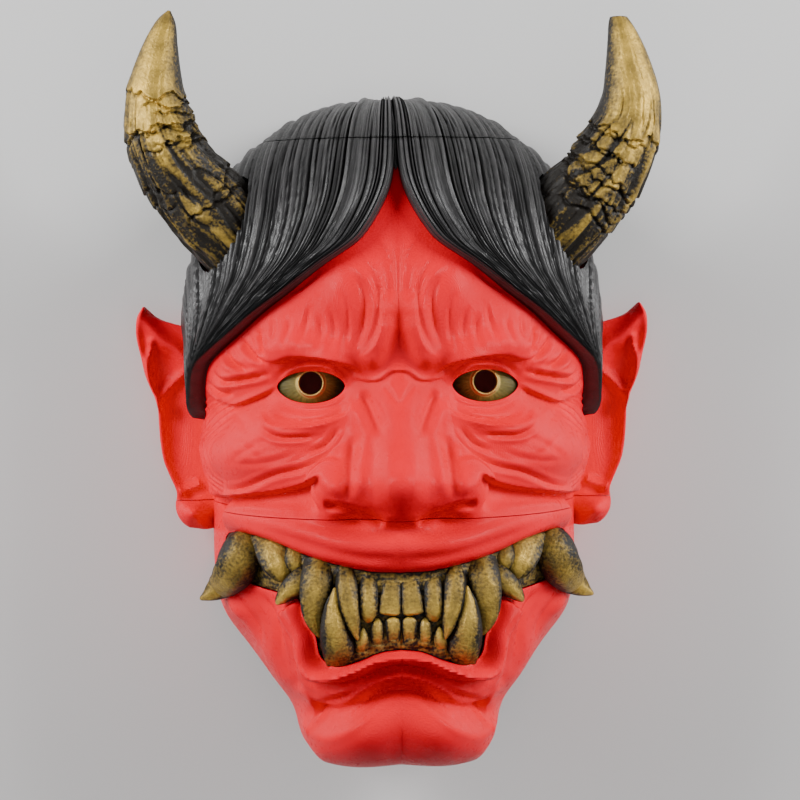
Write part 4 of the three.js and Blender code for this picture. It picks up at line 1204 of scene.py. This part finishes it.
for name, side in (("eye_left", -1), ("eye_right", 1)):
    ring_edge = SIGHT_HOLE + RING_WIDTH
    ring = [(out, z + ring_rise(out)) for out, z in dome(EYE_RADIUS, SIGHT_HOLE, ring_edge, 9)]
    front = ring + dome(EYE_RADIUS, ring_edge + RING_FOOT, EYE_REACH, 22)
    inner = dome(EYE_RADIUS - EYE_SHELL, SIGHT_HOLE, EYE_REACH - 0.2, 14)
    eye = turned(front + inner[::-1], (side * EYE_AT[0], EYE_AT[1]), 96)
    eye.name = name + "_shell"
    finish(eye, name, EYE_GOLD, sharp=180)

# The teeth and gums are one print that sits behind the lips: a gum that follows the inside of the
# face, with a flange that holds it, and the teeth rooted in it. It is painted as the horns are.
GUM_FRONT, GUM_BACK, FLANGE_FRONT, FLANGE_REACH, GUM_GAP = -1.6, -7.5, -3.9, 4, 0.4
GUM_FOOT, GUM_HEAD, ROOT_RISE = -112, -36, 2.2

# Each tooth is the path down its middle from its root, as (x, y, width, height over the gum), the share
# of it that rounds off at the end, its thickness for its width, and how boxy its section is.
TEETH = [
    # Upper row, from the middle out: front tooth, side tooth, small fang and fang.
    ([(3.1, -66, 6, -0.8), (3.3, -69, 6.6, 1.6), (3.8, -74, 7.6, 2.6), (4.2, -78.6, 8.4, 2.4)],
     0.1, 0.5, 3.2),
    ([(11.6, -65, 5.4, -1), (11.8, -69.5, 6.7, 2), (11.9, -75.5, 6.9, 3), (12, -81.2, 5.6, 2.6)],
     0.25, 0.75, 2.2),
    ([(20, -61.5, 6.4, -1), (19.8, -67.5, 8, 3), (19, -74, 7.6, 4.6), (17.4, -81.5, 4.8, 5),
      (15.9, -87.6, 1, 4.2)], 0.05, 0.85, 2),
    ([(29.2, -59.5, 12, -1), (30.6, -66, 11.8, 3.4), (31.8, -73, 9.6, 5.4), (32, -79.8, 6, 5.6),
      (29.8, -86.8, 1.2, 4)], 0.04, 0.72, 2),
    # Corner of the mouth: three short teeth and the tusk.
    ([(33, -63.5, 9, -2), (37, -66.6, 9, 3), (41.2, -70.4, 7.2, 5), (45.6, -75, 2, 5)], 0.1, 0.7, 2),
    ([(49.5, -50.5, 10, -1), (47, -55.5, 12.5, 2.4), (44.5, -61, 11, 3.8), (42.3, -66.8, 4.5, 3)],
     0.2, 0.6, 2.3),
    ([(39, -54.5, 6, -1), (38.6, -58.5, 7, 1.8), (37.8, -63.5, 5, 1.6)], 0.35, 0.7, 2),
    ([(56.6, -50, 8, -3.6), (57.7, -55, 15, 3.4), (60.5, -62.4, 15.6, 8), (65.2, -68.6, 11.8, 10.6),
      (70.4, -72.9, 6.2, 11), (75.2, -75.4, 1, 10)], 0.03, 0.85, 2.1),
    # Lower row, from the middle out: three small teeth and the fang.
    ([(2.9, -89.5, 4.6, -0.6), (2.9, -84.5, 5.2, 1.8), (3.1, -79, 5.9, 1.8)], 0.2, 0.6, 2.8),
    ([(9, -90.5, 4.2, -0.6), (8.8, -85, 5, 1.8), (8.7, -79.4, 4, 1.8)], 0.3, 0.75, 2.2),
    ([(14.6, -93, 4.8, -0.6), (14.2, -88, 5, 2), (13.8, -83, 2.8, 2.2)], 0.35, 0.75, 2),
    ([(22.6, -96, 11, -1.5), (22.9, -90.5, 12.6, 3), (24.1, -83.5, 10.4, 5.4), (24.9, -76.5, 6.6, 6),
      (24, -68, 1, 5.4)], 0.03, 0.72, 2),
]
CHEEK_EDGE, USUAL_WIDTH = 66, 9
# Height, cells across, cells up and seed of the ripples in the gum, and of the marks in its paint.
GUM_RIPPLES = [(0.35, 120, 110, 31), (0.3, 40, 230, 32)]
GUM_MARKS = [(0.16, 150, 70, 33), (0.12, 50, 200, 34)]


def gum_shell(rise):
    levels = np.linspace(GUM_FOOT, GUM_HEAD, 90)
    return head_solid("gum", 120, levels, lambda x, y, z: inside_relief(x, y, z) + rise)


def ripples(u, v, kinds, start):
    return sum((height * grain(u, v, *cells) for height, *cells in kinds), start)


def gum_swell(x, y, z):
    """The gum's front, with a mound round each root and fine ripples."""
    rise = inside_relief(x, y, z) + GUM_FRONT
    for path, *_ in TEETH:
        root_x, root_y, width, _ = path[0]
        foot_y = root_y + ROOT_RISE * np.sign(path[-1][1] - root_y)
        rise = rise + swelling(np.abs(x), y, (root_x, foot_y), (0.6 * width, 2 * ROOT_RISE), ROOT_RISE)
    return ripples(x / 300 + 0.5, (y + 140) / 280, GUM_RIPPLES, rise)


def gum_patina(u, v):
    return np.clip(ripples(u, v, GUM_MARKS, 0.36), 0, 1)


def tooth(side, seed, path, end, thick, bow):
    spine = curve_through(path, 60)
    x, y, width, lift = spine.T
    z = height_at(np.minimum(x, CHEEK_EDGE), y) + GUM_FRONT + lift
    share = np.linspace(0, 1, len(x))
    past = np.clip((share - 1 + end) / end, 0, 1)
    spine = np.stack([x, y, z, width / 2 * np.sqrt(1 - past**2) + 0.05], axis=-1)
    scale = path[1][2] / USUAL_WIDTH

    def ribbed(u, v):
        ribs = 0.26 * grain(u, v, 13, 2, seed) + 0.16 * grain(u, v, 34, 5, seed + 1)
        flaw = 0.08 * grain(u, v, 9, 14, seed + 2)
        return scale * (ribs + flaw) * smooth(1, 0.85, v)

    def raised(u, v):
        # Gold rubbed over the ribs, and painted highlight and shade: gold on the side that faces the lamps,
        # growing towards the tip, dark on the back and sides.
        painted_highlight_side = np.clip(np.sin(TURN * u), 0, 1) ** 2
        return np.clip(0.06 + 0.35 * ribbed(u, v) / scale + painted_highlight_side * (0.46 + 0.4 * smooth(0.1, 0.8, v)), 0, 1)

    grown = swept(spine, ribbed, thick, bow)
    return skin("tooth", 44, 60, lambda u, v: grown(u, v) * (side, 1, 1), raised)


gum_back = gum_shell(GUM_BACK)
teeth = head_solid("teeth_and_gums", 260, np.linspace(GUM_FOOT, GUM_HEAD, 170), gum_swell, gum_patina)
combine(teeth, prism(mouth_outline(-GUM_GAP), MOUTH_CUT_FOOT), "INTERSECT")
flange = gum_shell(FLANGE_FRONT)
combine(flange, prism(mouth_outline(FLANGE_REACH), MOUTH_CUT_FOOT), "INTERSECT")
combine(teeth, flange, "UNION")
combine(teeth, gum_back, "DIFFERENCE")
join(teeth, [tooth(side, 40 + 7 * n, *shape) for n, shape in enumerate(TEETH) for side in (-1, 1)])
finish(teeth, "teeth", GOLD)

# The mask lies on a plain pale table under plain soft lamps, whose places, sizes and powers are in metres
# and watts. The two key lights and the two rim lights graze the carving, and a large one fills it.
TABLE_HALF, TABLE_DROP = 3, 0.0005
LAMPS = [
    ("left_light", (-0.82, 0.46, 0.56), 0.42, 12),
    ("right_light", (0.82, 0.46, 0.56), 0.42, 12),
    ("left_rim_light", (-0.95, 0.1, 0.3), 0.4, 4),
    ("right_rim_light", (0.95, 0.1, 0.3), 0.4, 4),
    ("fill_light", (0, -0.35, 1.3), 1.1, 3.2),
]


def lay_table():
    mesh = bmesh.new()
    bmesh.ops.create_grid(mesh, x_segments=1, y_segments=1, size=TABLE_HALF)
    bmesh.ops.translate(mesh, verts=mesh.verts, vec=(0, 0, -TABLE_DROP))
    table = as_object("floor", mesh)
    paint, shader = new_paint("floor_paint")
    feed(paint, shader, {"Base Color": (0.66, 0.655, 0.65, 1), "Roughness": 0.7})
    table.data.materials.append(paint)


def light_up():
    for name, place, size, power in LAMPS:
        lamp = bpy.data.lights.new(name, "AREA")
        lamp.size = size
        lamp.energy = power
        light = bpy.data.objects.new(name, lamp)
        light.location = place
        away = light.location.normalized()
        light.rotation_euler = away.to_track_quat("Z", "Y").to_euler()
        bpy.context.collection.objects.link(light)
    world = bpy.data.worlds.new("studio")
    world.use_nodes = True
    background = world.node_tree.nodes["Background"]
    background.inputs["Color"].default_value = (0.9, 0.92, 0.95, 1)
    background.inputs["Strength"].default_value = 0.1
    bpy.context.scene.world = world


lay_table()
light_up()

# The camera looks straight down from about a metre, a little turned. Its focal length is in pixels of a
# frame 800 wide.
CAMERA_HEIGHT, CAMERA_YAW, CAMERA_ROLL = 1060, math.radians(1.8), math.radians(-0.6)
CAMERA_ASIDE, FOCAL_PIXELS, FRAME_PIXELS, SENSOR = 3.2, 2667, 800, 36
lens = bpy.data.cameras.new("camera")
lens.sensor_width = SENSOR
lens.lens = SENSOR * FOCAL_PIXELS / FRAME_PIXELS
camera = bpy.data.objects.new("camera", lens)
bpy.context.collection.objects.link(camera)
camera.location = (
    (-CAMERA_HEIGHT * math.sin(CAMERA_YAW) + CAMERA_ASIDE) * MM,
    SHIFT * MM,
    CAMERA_HEIGHT * math.cos(CAMERA_YAW) * MM,
)
camera.rotation_euler = (0, -CAMERA_YAW, CAMERA_ROLL)
bpy.context.scene.camera = camera
